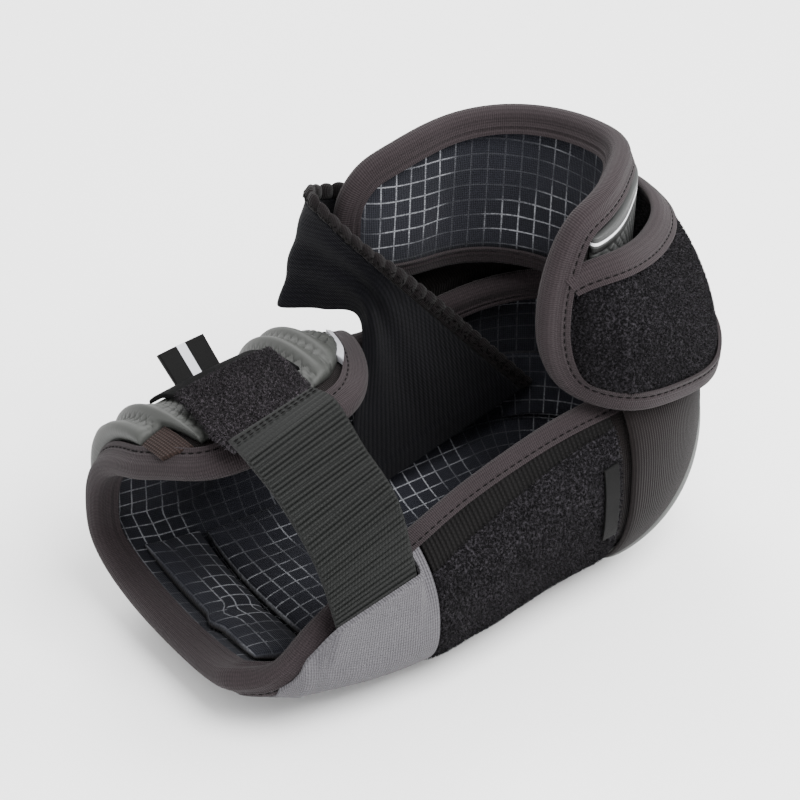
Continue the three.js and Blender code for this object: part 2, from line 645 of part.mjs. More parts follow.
// Sling and the stitched edging along its upper edge
const sling = sheetFace(SLING, ["lowX", "lowY", "lowZ"], ["highX", "highY", "highZ"]);
const slingPlaces = spread(0, SLING.length - 1, 24);
const slingShape = {
  face: sling,
  us: slingPlaces,
  range: () => [0, 1],
  shares: even(3),
  inner: -CLOTH / 2,
  outer: CLOTH / 2,
};
piece("elbow_sling", wall(slingShape), COLORS.sling, 0.8);
function edgingRing(place) {
  const edge = sling(place, 1, 0);
  const side = edge.clone().sub(sling(place, 0.9, 0)).normalize();
  const up = sling(place, 1, 1).sub(edge).normalize();
  const half = CLOTH / 2 + EDGING.puff;
  const shoulder = EDGING.width - EDGING.edge;
  const section = [
    { along: GAP, rise: half },
    { along: shoulder, rise: half },
    { along: EDGING.width, rise: 0 },
    { along: shoulder, rise: -half },
    { along: GAP, rise: -half },
  ];
  const corner = ({ along, rise }) => edge.clone().addScaledVector(side, along).addScaledVector(up, rise);
  return section.map(corner);
}
piece("sling_edging", bar(slingPlaces.map(edgingRing)), COLORS.tape, 0.95);

// Turns of a table's rows, with one more between each two.
function between(rows) {
  const last = rows.length - 1;
  return spread(0, last, last * 2).map((place) => straight(rows, "turn", place));
}

// Sleeve: pad and the moulded guard outside it
const sleeveTurns = between(SLEEVE);
const sleeveShape = {
  face: sleeve,
  us: sleeveTurns,
  range: (turn) => [sleeveLow(turn), sleeveTop(turn)],
  shares: even(4),
  inner: 0,
  outer: SLEEVE_PAD,
};
piece("sleeve_pad", wall(sleeveShape), COLORS.liner, 0.9);
const sleeveGuardShape = {
  face: sleeve,
  us: spread(SLEEVE_GUARD.from, SLEEVE_GUARD.to, 14),
  range: (turn) => [SLEEVE_GUARD.low, sleeveTop(turn) - SLEEVE_GUARD.edge],
  shares: even(4),
  inner: SLEEVE_PAD + SEAT,
  outer: SLEEVE_PAD + SEAT + GUARD_WALL,
};
piece("sleeve_guard", wall(sleeveGuardShape), COLORS.rubber, 0.6);

// Plush strap round the outside of the sleeve
const wrapAt = (column, turn) => smooth(WRAP, column, placeOf(WRAP, "turn", turn, 0, WRAP.length - 1));
const wrapLow = (turn) => wrapAt("low", turn);
const wrapTop = (turn) => wrapAt("top", turn);
function wrapOut(turn, height) {
  const share = THREE.MathUtils.mapLinear(height, wrapLow(turn), wrapTop(turn), 0, 1);
  const [low, top] = [wrapAt("lowOut", turn), wrapAt("topOut", turn)];
  return lerp(low, top, share) + WRAP_SWELL * (low - top) * share * (1 - share);
}
const wrapTurns = between(WRAP);
const wrap = (turn, height, distance) => sleeve(turn, height, wrapOut(turn, height) + distance);
const wrapShape = {
  face: wrap,
  us: wrapTurns,
  range: (turn) => [wrapLow(turn), wrapTop(turn)],
  shares: even(4),
  inner: 0,
  outer: PLUSH,
};
piece("sleeve_strap", wall(wrapShape), COLORS.loop, 1);

// Binding tape of the sleeve: from its far end along the rim, down the front round sleeve and strap
// together, then on along the strap's lower edge. hold is 1 where it holds both, 0 where it holds one.
const hold = (turn, [start, end]) => 1 - THREE.MathUtils.smoothstep(turn, start, end);
const rimPlace = (turn, height) => ({
  u: turn,
  v: height,
  inner: 0,
  outer: lerp(SLEEVE_PAD, wrapOut(turn, height) + PLUSH, hold(turn, FRONT_TAPE.rim)),
});
const hemPlace = (turn, height) => ({
  u: turn,
  v: height,
  inner: -wrapOut(turn, height) * hold(turn, FRONT_TAPE.hem),
  outer: PLUSH,
});
const farTurn = sleeveTurns[sleeveTurns.length - 1];
const sleeveMiddle = () => ({ u: 0, v: SLEEVE_MIDDLE });
const sleeveRim = [
  rimPlace(farTurn, sleeveLow(farTurn)),
  ...sleeveTurns.toReversed().map((turn) => rimPlace(turn, sleeveTop(turn))),
];
const strapHem = wrapTurns.map((turn) => hemPlace(turn, wrapLow(turn)));
const sleeveTape = [
  ...edgeStations(sleeve, sleeveRim, sleeveMiddle),
  ...edgeStations(wrap, strapHem, sleeveMiddle),
];
piece("sleeve_binding", tape(sleeveTape), COLORS.tape, 0.95);

// Tape of the sleeve's lower edge, and of the strap's upper edge
const sleeveWall = { inner: 0, outer: SLEEVE_PAD };
const hemTurns = sleeveTurns.filter((turn) => turn > SLEEVE_HEM.from && turn < SLEEVE_HEM.to);
const hemPlaces = hemTurns.map((turn) => ({ u: turn, v: sleeveLow(turn), ...sleeveWall }));
piece("sleeve_hem", tape(edgeStations(sleeve, hemPlaces, sleeveMiddle)), COLORS.tape, 0.95);
const strapTurns = [STRAP_TAPE_START, ...wrapTurns.filter((turn) => turn > STRAP_TAPE_START)];
const strapPlaces = strapTurns.map((turn) => ({ u: turn, v: wrapTop(turn), inner: 0, outer: PLUSH }));
const strapMiddle = ({ u }) => ({ u, v: wrapLow(u) });
piece("strap_binding", tape(edgeStations(wrap, strapPlaces, strapMiddle)), COLORS.tape, 0.95);

const box = new THREE.Box3().setFromObject(group);
const middle = box.getCenter(new THREE.Vector3());
group.position.set(-middle.x, -middle.y, -box.min.z);

export default group;
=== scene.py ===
"""Looks of a hockey elbow pad for the right arm, bent at the elbow and lying on its outer side."""
import logging
import math
from dataclasses import dataclass, field, replace
from enum import Enum
from typing import Callable, NamedTuple, Optional, Sequence

import bmesh
import bpy
import numpy as np
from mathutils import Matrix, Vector


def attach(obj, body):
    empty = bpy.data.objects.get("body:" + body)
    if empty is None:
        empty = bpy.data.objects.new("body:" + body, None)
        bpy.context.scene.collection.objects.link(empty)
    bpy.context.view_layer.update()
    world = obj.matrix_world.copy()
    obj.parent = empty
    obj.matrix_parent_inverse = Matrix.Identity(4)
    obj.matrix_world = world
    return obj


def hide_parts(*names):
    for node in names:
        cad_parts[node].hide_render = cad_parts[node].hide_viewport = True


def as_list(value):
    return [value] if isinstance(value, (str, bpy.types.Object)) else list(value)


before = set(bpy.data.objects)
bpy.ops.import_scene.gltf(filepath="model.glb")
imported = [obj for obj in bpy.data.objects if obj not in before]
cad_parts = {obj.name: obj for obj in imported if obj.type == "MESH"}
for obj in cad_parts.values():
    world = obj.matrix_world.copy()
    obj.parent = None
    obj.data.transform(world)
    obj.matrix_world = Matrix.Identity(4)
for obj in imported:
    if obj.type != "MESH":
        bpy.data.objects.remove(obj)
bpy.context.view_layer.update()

LOG = logging.getLogger("elbow_pad")

Array = np.ndarray
Rgb = tuple[float, float, float]
Surface = Callable[[Array, Array, Array], Array]

MM = 0.001  # the tables below are in millimetres
MIDDLE = np.array((129.488, 7.402, -2.0))  # the part's origin, in the tables' own coordinates
BODY = "root"

# Thicknesses of walls, clearances between them and places, in millimetres
PAD = 8.0
SLEEVE_PAD = 7.0
SEAT = 1.0
COVER = 1.7
PLUSH = 2.2
CAP_WALL = 3.5
GUARD_WALL = 3.0
CLOTH = 1.6
TAPE = 1.5
TAPE_SEAT = 1.4
PRESS = 1.7  # how far a binding presses each face of a wall in at its edge
PRESS_REACH = 8.0
REST = -2.0  # height of the ground
ELBOW_X = 178.0
WRIST_X = 4.0


class TroughRow(NamedTuple):
    """One section of the trough's wall, from the wrist on the far side round to the near side."""

    x: float
    turn: float
    reach: float
    waist: float
    keel: float
    crown: float
    rim: float


class SleeveRow(NamedTuple):
    """Edges of the upper-arm sleeve at one plan angle."""

    turn: float
    low: float
    top: float


class WrapRow(NamedTuple):
    """Edges of the plush strap at one plan angle, and how far each stands off the sleeve."""

    turn: float
    low: float
    top: float
    low_out: float
    top_out: float


class SheetRow(NamedTuple):
    """Two edges of a strap or sling at one bend."""

    low: tuple[float, float, float]
    high: tuple[float, float, float]


TROUGH_ROWS = (
    TroughRow(4, 90, 66, 45, 14, 46, 160),
    TroughRow(13, 90, 67, 46, 11, 50, 176),
    TroughRow(26, 90, 67, 49, 6, 52, 182),
    TroughRow(60, 90, 68, 51, 1, 54, 184),
    TroughRow(88, 90, 68, 53, 0, 53, 181),
    TroughRow(102, 90, 67, 55, 0, 51, 170),
    TroughRow(112, 90, 67, 57, 0, 50, 145),
    TroughRow(122, 90, 66, 59, 0, 49, 111),
    TroughRow(150, 90, 65, 60, 0, 49, 108),
    TroughRow(ELBOW_X, 90, 64, 60, 0, 50, 116),
    TroughRow(ELBOW_X, 45, 65, 60, 0, 52, 124),
    TroughRow(ELBOW_X, 0, 67, 60, 0, 52, 126),
    TroughRow(ELBOW_X, -45, 64, 60, 0, 52, 126),
    TroughRow(ELBOW_X, -90, 61, 56, 0, 50, 130),
    TroughRow(150, -90, 61, 51, 0, 48, 134),
    TroughRow(122, -90, 63, 43, 0, 46, 138),
    TroughRow(112, -90, 64, 40, 0, 45, 139),
    TroughRow(102, -90, 64, 38, 0, 43, 139),
    TroughRow(88, -90, 65, 36, 0, 40, 138),
    TroughRow(60, -90, 63, 34, 1, 36, 130),
    TroughRow(26, -90, 57, 34, 6, 34, 102),
    TroughRow(13, -90, 51, 34, 11, 32, 70),
    TroughRow(4, -90, 47, 34, 14, 31, 50),
)
SLEEVE_ROWS = (
    SleeveRow(-105, 139, 147),
    SleeveRow(-101, 133, 161),
    SleeveRow(-90, 118, 172),
    SleeveRow(-55, 101, 176),
    SleeveRow(0, 103, 173),
    SleeveRow(55, 105, 170),
    SleeveRow(100, 106, 165),
    SleeveRow(131, 110, 157),
    SleeveRow(140, 120, 146),
)
WRAP_ROWS = (
    WrapRow(-105, 122, 144, 7.4, 7.4),
    WrapRow(-101, 108, 148, 7.6, 7.5),
    WrapRow(-97, 103, 150, 8, 7.7),
    WrapRow(-93.5, 100, 152, 9.4, 7.9),
    WrapRow(-89, 98, 154, 18, 11),
    WrapRow(-82, 96, 155, 30, 15),
    WrapRow(-55, 91, 151, 44.5, 18),
    WrapRow(-20, 87, 148, 46.5, 20),
    WrapRow(20, 86, 146, 43.5, 20),
    WrapRow(55, 89, 146, 35, 17),
    WrapRow(84, 98, 144, 22, 16),
    WrapRow(92, 106, 136, 20, 16),
)
STRAP_ROWS = (
    SheetRow((23, -12, 114.8), (67.5, -2, 115.2)),
    SheetRow((25.5, -22, 108.5), (70.5, -14, 114.6)),
    SheetRow((30.5, -35, 95), (72, -30, 102)),
    SheetRow((33.5, -53, 76), (73, -51, 88.5)),
    SheetRow((33.5, -67, 54), (70.5, -67, 62)),
)
SLING_ROWS = (
    SheetRow((156, 77, 107), (156, 74, 134)),
    SheetRow((124, 81, 99), (126, 76, 141)),
    SheetRow((106, 80, 95), (113, 67, 149)),
    SheetRow((119, 68, 95), (114, 56, 145)),
    SheetRow((129, 53, 92), (131, 46, 122)),
    SheetRow((117, 43, 50), (164, 42, 82)),
    SheetRow((110, 36, 18), (199, 37, 40)),
)


def column(rows: Sequence[NamedTuple], name: str) -> Array:
    """One named column of a table as an array."""
    return np.array([getattr(row, name) for row in rows], float)


def smooth(values: Array, place: Array) -> Array:
    """Values between table rows, on a smooth curve through them.

    Args:
        values: One number or point for each row.
        place: Row numbers with their fractions.

    Returns:
        The value at each place.
    """
    place = np.asarray(place, float)
    last = len(values) - 1
    row = np.clip(np.floor(place).astype(int), 0, last - 1)
    before, here, after, beyond = (values[np.clip(row + k, 0, last)] for k in (-1, 0, 1, 2))
    t = place - row
    if values.ndim > 1:
        t = t[..., None]
    later = 3 * t**2 - 2 * t**3
    start = (after - before) / 2 * (t**3 - 2 * t**2 + t)
    end = (beyond - here) / 2 * (t**3 - t**2)
    return here * (1 - later) + after * later + start + end


def unit(vectors: Array) -> Array:
    """The vectors at length one."""
    length = np.linalg.norm(vectors, axis=-1, keepdims=True)
    return vectors / np.maximum(length, 1e-12)


def lerp(low: Array, high: Array, share: Array) -> Array:
    """Straight mix of two values."""
    return low + (high - low) * share


def ease(value: Array, start: float, end: float) -> Array:
    """Smooth step from 0 at start to 1 at end."""
    t = np.clip((np.asarray(value, float) - start) / (end - start), 0, 1)
    return t * t * (3 - 2 * t)


def bump(value: Array, middle: float, width: float) -> Array:
    """Round bump of height one about a middle value."""
    return np.exp(-(((np.asarray(value, float) - middle) / width) ** 2))


def soft_shares(count: int) -> Array:
    """Shares from 0 to 1 that lie closer together at both ends, for a rounded edge."""
    edge = np.array((0, 0.004, 0.012, 0.025))
    return np.concatenate([edge, np.linspace(0.04, 0.96, count), 1 - edge[::-1]])


def rounded(share: Array, width: float = 0.03) -> Array:
    """Thickness across a sheet whose edges are rounded over a share of its width."""
    near = np.clip(np.minimum(share, 1 - share) / width, 0, 1)
    return 0.25 + 0.75 * np.sqrt(1 - (1 - near) ** 2)


def pressed(inset: Array) -> Array:
    """How far each face of a padded wall is pressed in, by its distance from the bound edge."""
    return PRESS * (1 - ease(inset, 0, PRESS_REACH))


def diamond_gap(cells: Array, rows: Array) -> Array:
    """How far a point is from the nearest groove between diamonds, from 0 to 1."""
    ways = [np.abs(np.sin(np.pi * (cells + side * rows) / 2)) for side in (1, -1)]
    return np.minimum(*ways)


class Trough:
    """Outer face of the forearm trough and of its round elbow end."""

    STEP_PLACE = 0.05
    STEP_ANGLE = 0.5
    POWER = 0.8  # squareness of the section

    def __init__(self, rows: Sequence[TroughRow]) -> None:
        """Keeps the table's columns."""
        self.columns = {name: column(rows, name) for name in TroughRow._fields}
        self.rows = np.arange(len(rows), dtype=float)
        self.last = len(rows) - 1
        self.elbow_far = int(np.argmax(self.columns["x"] == ELBOW_X))
        self.elbow_near = self.last - self.elbow_far

    def straight(self, name: str, place: Array) -> Array:
        """A column between rows, on straight lines."""
        row = np.clip(np.floor(place).astype(int), 0, self.last - 1)
        values = self.columns[name]
        return lerp(values[row], values[row + 1], place - row)

    def curved(self, name: str, place: Array) -> Array:
        """A column between rows, on a smooth curve."""
        return smooth(self.columns[name], place)

    def face(self, place: Array, angle: Array) -> Array:
        """Points of the outer face at table places and section angles in degrees."""
        turn = np.radians(self.straight("turn", place))
        sine = np.sin(np.radians(angle))
        cosine = np.cos(np.radians(angle))
        across = self.curved("reach", place) * np.sign(sine) * np.abs(sine) ** self.POWER
        rise = np.sign(cosine) * np.abs(cosine) ** self.POWER
        waist = self.curved("waist", place)
        height = np.where(rise > 0, waist - self.curved("keel", place), self.curved("crown", place))
        x = self.straight("x", place) + across * np.cos(turn)
        return np.stack([x, across * np.sin(turn), waist - rise * height], -1)

    def wall(self, place: Array, angle: Array, distance: Array) -> Array:
        """Points at distances outside the outer face."""
        place, angle, distance = np.broadcast_arrays(place, angle, distance)
        point = self.face(place, angle)
        onward = self.face(np.minimum(place + self.STEP_PLACE, self.last), angle)
        along = onward - self.face(np.maximum(place - self.STEP_PLACE, 0), angle)
        across = self.face(place, angle + self.STEP_ANGLE) - self.face(place, angle - self.STEP_ANGLE)
        normal = unit(np.cross(along, across))
        waist = self.curved("waist", place)
        middle = np.stack([self.straight("x", place), np.zeros(place.shape), waist], -1)
        inside = np.sum(normal * (point - middle), -1) < 0
        normal = np.where(inside[..., None], -normal, normal)
        normal = np.where((angle < 1)[..., None], np.array((0, 0, -1.0)), normal)
        return point + normal * distance[..., None]

    def far_place(self, x: Array) -> Array:
        """Table place on the far side at a place along the arm."""
        stop = self.elbow_far + 1
        return np.interp(x, self.columns["x"][:stop], self.rows[:stop])

    def arm(self, x: Array, angle: Array, distance: Array) -> Array:
        """Points of the straight stretch by signed section angle, far side positive."""
        x, angle, distance = np.broadcast_arrays(x, angle, distance)
        far = self.far_place(x)
        return self.wall(np.where(angle < 0, self.last - far, far), np.abs(angle), distance)

    def elbow_place(self, turn: Array) -> Array:
        """Table place on the round elbow end at a plan direction."""
        rows = slice(self.elbow_far, self.elbow_near + 1)
        return np.interp(-np.asarray(turn, float), -self.columns["turn"][rows], self.rows[rows])

    def elbow(self, turn: Array, angle: Array, distance: Array) -> Array:
        """Points of the round elbow end by plan direction and section angle."""
        return self.wall(self.elbow_place(turn), angle, distance)

    def rim(self, place: Array) -> Array:
        """Section angle of the wall's edge."""
        return self.curved("rim", place)

    def near_rim(self, x: Array) -> Array:
        """Section angle of the near edge at a place along the arm."""
        return self.rim(self.last - self.far_place(x))

    def far_rim(self, x: Array) -> Array:
        """Section angle of the far edge at a place along the arm."""
        return self.rim(self.far_place(x))


class Sleeve:
    """Inner face of the upper-arm sleeve, a wall open towards the wrist."""

    CENTRE = (164.0, 5.0)
    DEPTH = 45.0
    LEAN = 0.05
    FOOT = 103.0
    # Far and near sides: half width, spread past the sides, and how far the round corner is pressed in
    HALF = (50.0, 38.0)
    FLARE = (7.0, -4.0)
    FLAT = (0.0, 0.1)

    def __init__(self, rows: Sequence[SleeveRow]) -> None:
        """Keeps the table's columns."""
        self.turns = column(rows, "turn")
        self.lows = column(rows, "low")
        self.tops = column(rows, "top")
        self.rows = np.arange(len(rows), dtype=float)

    def face(self, turn: Array, height: Array) -> Array:
        """Points of the inner face at plan angles and heights."""
        over = np.radians(np.maximum(np.abs(turn) - 90, 0))
        bent = np.radians(np.clip(turn, -90, 90))
        half, flare, flat = (np.where(turn > 0, *pair) for pair in (self.HALF, self.FLARE, self.FLAT))
        size = 1 - flat * np.sin(2 * bent) ** 2
        x = self.CENTRE[0] + self.LEAN * (height - self.FOOT) + self.DEPTH * (size * np.cos(bent) - over)
        y = self.CENTRE[1] + size * (half + flare * over**2) * np.sin(bent)
        return np.stack([x, y, height + 0 * x], -1)

    def wall(self, turn: Array, height: Array, distance: Array) -> Array:
        """Points at distances outside the inner face."""
        turn, height, distance = np.broadcast_arrays(
            np.asarray(turn, float), np.asarray(height, float), np.asarray(distance, float)
        )
        point = self.face(turn, height)
        along = self.face(turn + 1, height) - self.face(turn - 1, height)
        normal = unit(np.stack([along[..., 1], -along[..., 0], 0 * turn], -1))
        return point + normal * distance[..., None]

    def low(self, turn: Array) -> Array:
        """Height of the lower edge."""
        return smooth(self.lows, np.interp(turn, self.turns, self.rows))

    def top(self, turn: Array) -> Array:
        """Height of the upper edge."""
        return smooth(self.tops, np.interp(turn, self.turns, self.rows))


class Wrap:
    """Inner face of the plush strap round the sleeve."""

    SWELL = 0.8  # how far the strap bulges between its edges, as a share of its spread

    def __init__(self, rows: Sequence[WrapRow], sleeve: Sleeve) -> None:
        """Keeps the table's columns and the sleeve that the strap goes round."""
        self.columns = {name: column(rows, name) for name in WrapRow._fields}
        self.rows = np.arange(len(rows), dtype=float)
        self.sleeve = sleeve

    def at(self, name: str, turn: Array) -> Array:
        """A column at plan angles."""
        return smooth(self.columns[name], np.interp(turn, self.columns["turn"], self.rows))

    def low(self, turn: Array) -> Array:
        """Height of the lower edge."""
        return self.at("low", turn)

    def top(self, turn: Array) -> Array:
        """Height of the upper edge."""
        return self.at("top", turn)

    def out(self, turn: Array, height: Array) -> Array:
        """How far the strap stands off the sleeve's inner face."""
        low = self.low(turn)
        share = (height - low) / (self.top(turn) - low)
        low_out, top_out = self.at("low_out", turn), self.at("top_out", turn)
        return lerp(low_out, top_out, share) + self.SWELL * (low_out - top_out) * share * (1 - share)

    def wall(self, turn: Array, height: Array, distance: Array) -> Array:
        """Points at distances outside the strap's inner face."""
        return self.sleeve.wall(turn, height, self.out(turn, height) + distance)


class Ribbon:
    """Middle face of a strap or sling that runs through a table of bends."""

    STEP = 0.05

    def __init__(self, rows: Sequence[SheetRow]) -> None:
        """Keeps the two edges."""
        self.low = column(rows, "low")
        self.high = column(rows, "high")
        self.last = len(rows) - 1

    def middle(self, place: Array, share: Array) -> Array:
        """Points of the middle face at table places and shares across."""
        place = np.clip(place, 0, self.last)
        return lerp(smooth(self.low, place), smooth(self.high, place), share[..., None])

    def even(self, count: int) -> Array:
        """Table places at even steps along the strap's length."""
        place = np.linspace(0, self.last, 20 * count)
        steps = np.linalg.norm(np.diff(self.middle(place, 0 * place + 0.5), axis=0), axis=1)
        length = np.concatenate([[0], np.cumsum(steps)])
        return np.interp(np.linspace(0, length[-1], count), length, place)

    def wall(self, place: Array, share: Array, distance: Array) -> Array:
        """Points at distances off the middle face."""
        place, share, distance = np.broadcast_arrays(
            np.asarray(place, float), np.asarray(share, float), np.asarray(distance, float)
        )
        along = self.middle(place + self.STEP, share) - self.middle(place - self.STEP, share)
        across = self.middle(place, 0 * share + 1) - self.middle(place, 0 * share)
        normal = unit(np.cross(along, across))
        return self.middle(place, share) + normal * distance[..., None]


TROUGH = Trough(TROUGH_ROWS)
SLEEVE = Sleeve(SLEEVE_ROWS)
WRAP = Wrap(WRAP_ROWS, SLEEVE)
STRAP = Ribbon(STRAP_ROWS)
SLING = Ribbon(SLING_ROWS)


def arc(points: Array, axis: int) -> Array:
    """Length along a grid of points, from its first row or column, in metres."""
    steps = np.linalg.norm(np.diff(points, axis=axis), axis=-1)
    return np.concatenate([np.zeros_like(np.take(steps, [0], axis)), np.cumsum(steps, axis)], axis) * MM


def link(mesh: bpy.types.Mesh, name: str) -> bpy.types.Object:
    """Puts a mesh into the scene as an object at the origin."""
    item = bpy.data.objects.new(name, mesh)
    bpy.context.scene.collection.objects.link(item)
    return item


@dataclass
class Skin:
    """Closed skin between two grids of points, as cloth, foam and rubber have.

    Args:
        name: Name of the object.
        outer: Grid of points of the outer face, in millimetres.
        inner: Grid of points of the inner face.
        looped: Whether the last row joins the first one.
        seamless: Whether the first column closes on itself, so that it has no edge.
        relief: Height of the outer face's pattern from 0 to 1, which the finishes read; 1 if not given.
        plain: Whether the inner face is the plain one, which the cloth coordinates follow.
        sharp: Angle in degrees over which an edge is sharp.
    """

    name: str
    outer: Array
    inner: Array
    looped: bool = False
    seamless: bool = False
    relief: Optional[Array] = None
    plain: bool = True
    sharp: float = 60.0

    def build(self) -> bpy.types.Object:
        """Makes the object, with its cloth coordinates in metres.

        Returns:
            The new object.
        """
        rows, cells = self.outer.shape[:2]
        points = np.concatenate([self.outer, self.inner[:, ::-1]], 1)
        width = 2 * cells
        faces, corners = self._sides(rows, width)
        if not self.looped:
            ends = self._ends(rows, cells)
            faces = np.concatenate([faces, ends])
            corners = np.concatenate([corners, ends])
        if self._volume(points.reshape(-1, 3), faces) < 0:
            faces = faces[:, ::-1]
            corners = corners[:, ::-1]
        mesh = bpy.data.meshes.new(self.name)
        vertices = (points.reshape(-1, 3) - MIDDLE) * MM
        mesh.from_pydata(vertices.tolist(), [], faces.tolist())
        layer = mesh.uv_layers.new(name="cloth")
        layer.data.foreach_set("uv", self._cloth(rows).reshape(-1, 2)[corners.ravel()].ravel())
        height = np.zeros((rows, width))
        height[:, :cells] = 1.0 if self.relief is None else self.relief
        attribute = mesh.attributes.new("relief", "FLOAT", "POINT")
        attribute.data.foreach_set("value", height.ravel())
        self._clean(mesh)
        return link(mesh, self.name)

    def _sides(self, rows: int, width: int) -> tuple[Array, Array]:
        """Faces along the skin, as vertex numbers and as numbers of cloth coordinates."""
        spans = np.arange(rows if self.looped else rows - 1)
        row, cell = np.meshgrid(spans, np.arange(width), indexing="ij")
        if self.seamless:
            row, cell = row[:, :-1], cell[:, :-1]
        onward = (cell + 1) % width
        corners = [(row, cell), (row + 1, cell), (row + 1, onward), (row, onward)]
        faces = np.stack([(r % rows) * width + c for r, c in corners], -1).reshape(-1, 4)
        cloth = np.stack([r * width + c for r, c in corners], -1).reshape(-1, 4)
        return faces, cloth

    def _ends(self, rows: int, cells: int) -> Array:
        """Faces that close the first and the last row."""
        cell = np.arange(cells - 1)
        back = 2 * cells - 1 - cell
        first = np.stack([cell, cell + 1, back - 1, back], -1)
        return np.concatenate([first, first[:, ::-1] + (rows - 1) * 2 * cells])

    def _cloth(self, rows: int) -> Array:
        """Cloth coordinates: length along the rows and across them."""
        face = self.inner if self.plain else self.outer
        closed = np.concatenate([face, face[:1]]) if self.looped else face
        along = arc(closed, 0).mean(1)
        across = arc(closed, 1)
        both = np.stack([np.broadcast_to(along[:, None], across.shape), across], -1)
        return np.concatenate([both, both[:, ::-1]], 1)

    @staticmethod
    def _volume(points: Array, faces: Array) -> float:
        """Signed volume, negative where the faces point in."""
        a, b, c, d = (points[faces[:, k]] for k in range(4))
        return float(np.sum(a * np.cross(b, c)) + np.sum(a * np.cross(c, d)))

    def _clean(self, mesh: bpy.types.Mesh) -> None:
        """Merges doubles, removes flat faces and sets smooth shading."""
        work = bmesh.new()
        work.from_mesh(mesh)
        bmesh.ops.remove_doubles(work, verts=work.verts, dist=0.01 * MM)
        bmesh.ops.dissolve_degenerate(work, edges=work.edges, dist=0.005 * MM)
        work.to_mesh(mesh)
        work.free()
        mesh.shade_smooth()
        mesh.set_sharp_from_angle(angle=math.radians(self.sharp))

    def cut(self) -> tuple[tuple[float, float], float]:
        """Flat width and length of the cloth, and its flat area, in metres."""
        length = float(arc(self.outer, 0)[-1].max())
        width = float(arc(self.outer, 1)[:, -1].max())
        along = np.diff(self.outer, axis=0)[:, :-1]
        across = np.diff(self.outer, axis=1)[:-1]
        area = float(np.linalg.norm(np.cross(along, across), axis=-1).sum()) * MM**2
        return (width, length), min(area, width * length)


class Graph:
    """Node tree of one material, with short ways to add and join nodes."""

    def __init__(self, name: str) -> None:
        """Starts a material with its shader."""
        self.material = bpy.data.materials.new(name)
        self.material.use_nodes = True
        self.tree = self.material.node_tree
        self.shader = self.tree.nodes["Principled BSDF"]

    def add(self, kind: str, **settings: object) -> bpy.types.Node:
        """Adds a node with its settings."""
        node = self.tree.nodes.new(kind)
        for name, value in settings.items():
            setattr(node, name, value)
        return node

    def feed(self, socket: bpy.types.NodeSocket, value: object) -> None:
        """Joins a socket to another one, or sets its value."""
        if isinstance(value, bpy.types.NodeSocket):
            self.tree.links.new(value, socket)
        elif isinstance(value, tuple) and len(value) == 3 and socket.type == "RGBA":
            socket.default_value = (*value, 1.0)
        else:
            socket.default_value = value

    def number(self, operation: str, *values: object) -> bpy.types.NodeSocket:
        """Result of a sum on numbers or sockets."""
        node = self.add("ShaderNodeMath", operation=operation)
        for socket, value in zip(node.inputs, values):
            self.feed(socket, value)
        return node.outputs[0]

    def cloth(self) -> tuple[bpy.types.NodeSocket, bpy.types.NodeSocket]:
        """Cloth coordinates along and across the piece, in metres."""
        place = self.add("ShaderNodeUVMap", uv_map="cloth")
        split = self.add("ShaderNodeSeparateXYZ")
        self.feed(split.inputs[0], place.outputs[0])
        return split.outputs[0], split.outputs[1]

    def noise(self, size: float, detail: float = 3.0) -> bpy.types.NodeSocket:
        """Cloudy pattern from 0 to 1 whose patches are about a size across, in millimetres."""
        place = self.add("ShaderNodeTexCoord")
        node = self.add("ShaderNodeTexNoise")
        self.feed(node.inputs["Vector"], place.outputs["Object"])
        self.feed(node.inputs["Scale"], 1 / (size * MM))
        self.feed(node.inputs["Detail"], detail)
        return node.outputs[0]

    def ramp(
        self, value: bpy.types.NodeSocket, start: float, end: float, low: float = 0.0, high: float = 1.0
    ) -> bpy.types.NodeSocket:
        """Smooth change from low to high as a value goes from start to end."""
        node = self.add("ShaderNodeMapRange", interpolation_type="SMOOTHSTEP")
        names = ("Value", "From Min", "From Max", "To Min", "To Max")
        for name, setting in zip(names, (value, start, end, low, high)):
            self.feed(node.inputs[name], setting)
        return node.outputs[0]

    def mix(self, share: object, first: object, second: object) -> bpy.types.NodeSocket:
        """Mix of two colours."""
        node = self.add("ShaderNodeMix", data_type="RGBA")
        for place, value in zip((0, 6, 7), (share, first, second)):
            self.feed(node.inputs[place], value)
        return node.outputs[2]

    def wave(self, along: bpy.types.NodeSocket, pitch: float) -> bpy.types.NodeSocket:
        """Sine from 0 to 1 that repeats at a pitch in millimetres."""
        turns = self.number("MULTIPLY", along, 2 * math.pi / (pitch * MM))
        return self.number("MULTIPLY_ADD", self.number("SINE", turns), 0.5, 0.5)

    def line(self, along: bpy.types.NodeSocket, cell: float, width: float) -> bpy.types.NodeSocket:
        """Lines of a width that repeat at a cell's size, both in millimetres."""
        away = self.number("PINGPONG", along, cell * MM / 2)
        return self.ramp(away, width * MM / 2, width * MM, 1.0, 0.0)

    def relief(self) -> bpy.types.NodeSocket:
        """Height of the mesh's own pattern."""
        return self.add("ShaderNodeAttribute", attribute_name="relief").outputs["Fac"]

    def set(self, color: object, height: object, depth: float) -> None:
        """Gives the shader its colour and a relief of a depth in millimetres."""
        self.feed(self.shader.inputs["Base Color"], color)
        node = self.add("ShaderNodeBump")
        self.feed(node.inputs["Distance"], depth * MM)
        self.feed(node.inputs["Height"], height)
        self.feed(self.shader.inputs["Normal"], node.outputs[0])


def shaded(color: Rgb, share: float) -> Rgb:
    """A colour made darker or lighter by a share."""
    return tuple(min(channel * share, 1.0) for channel in color)


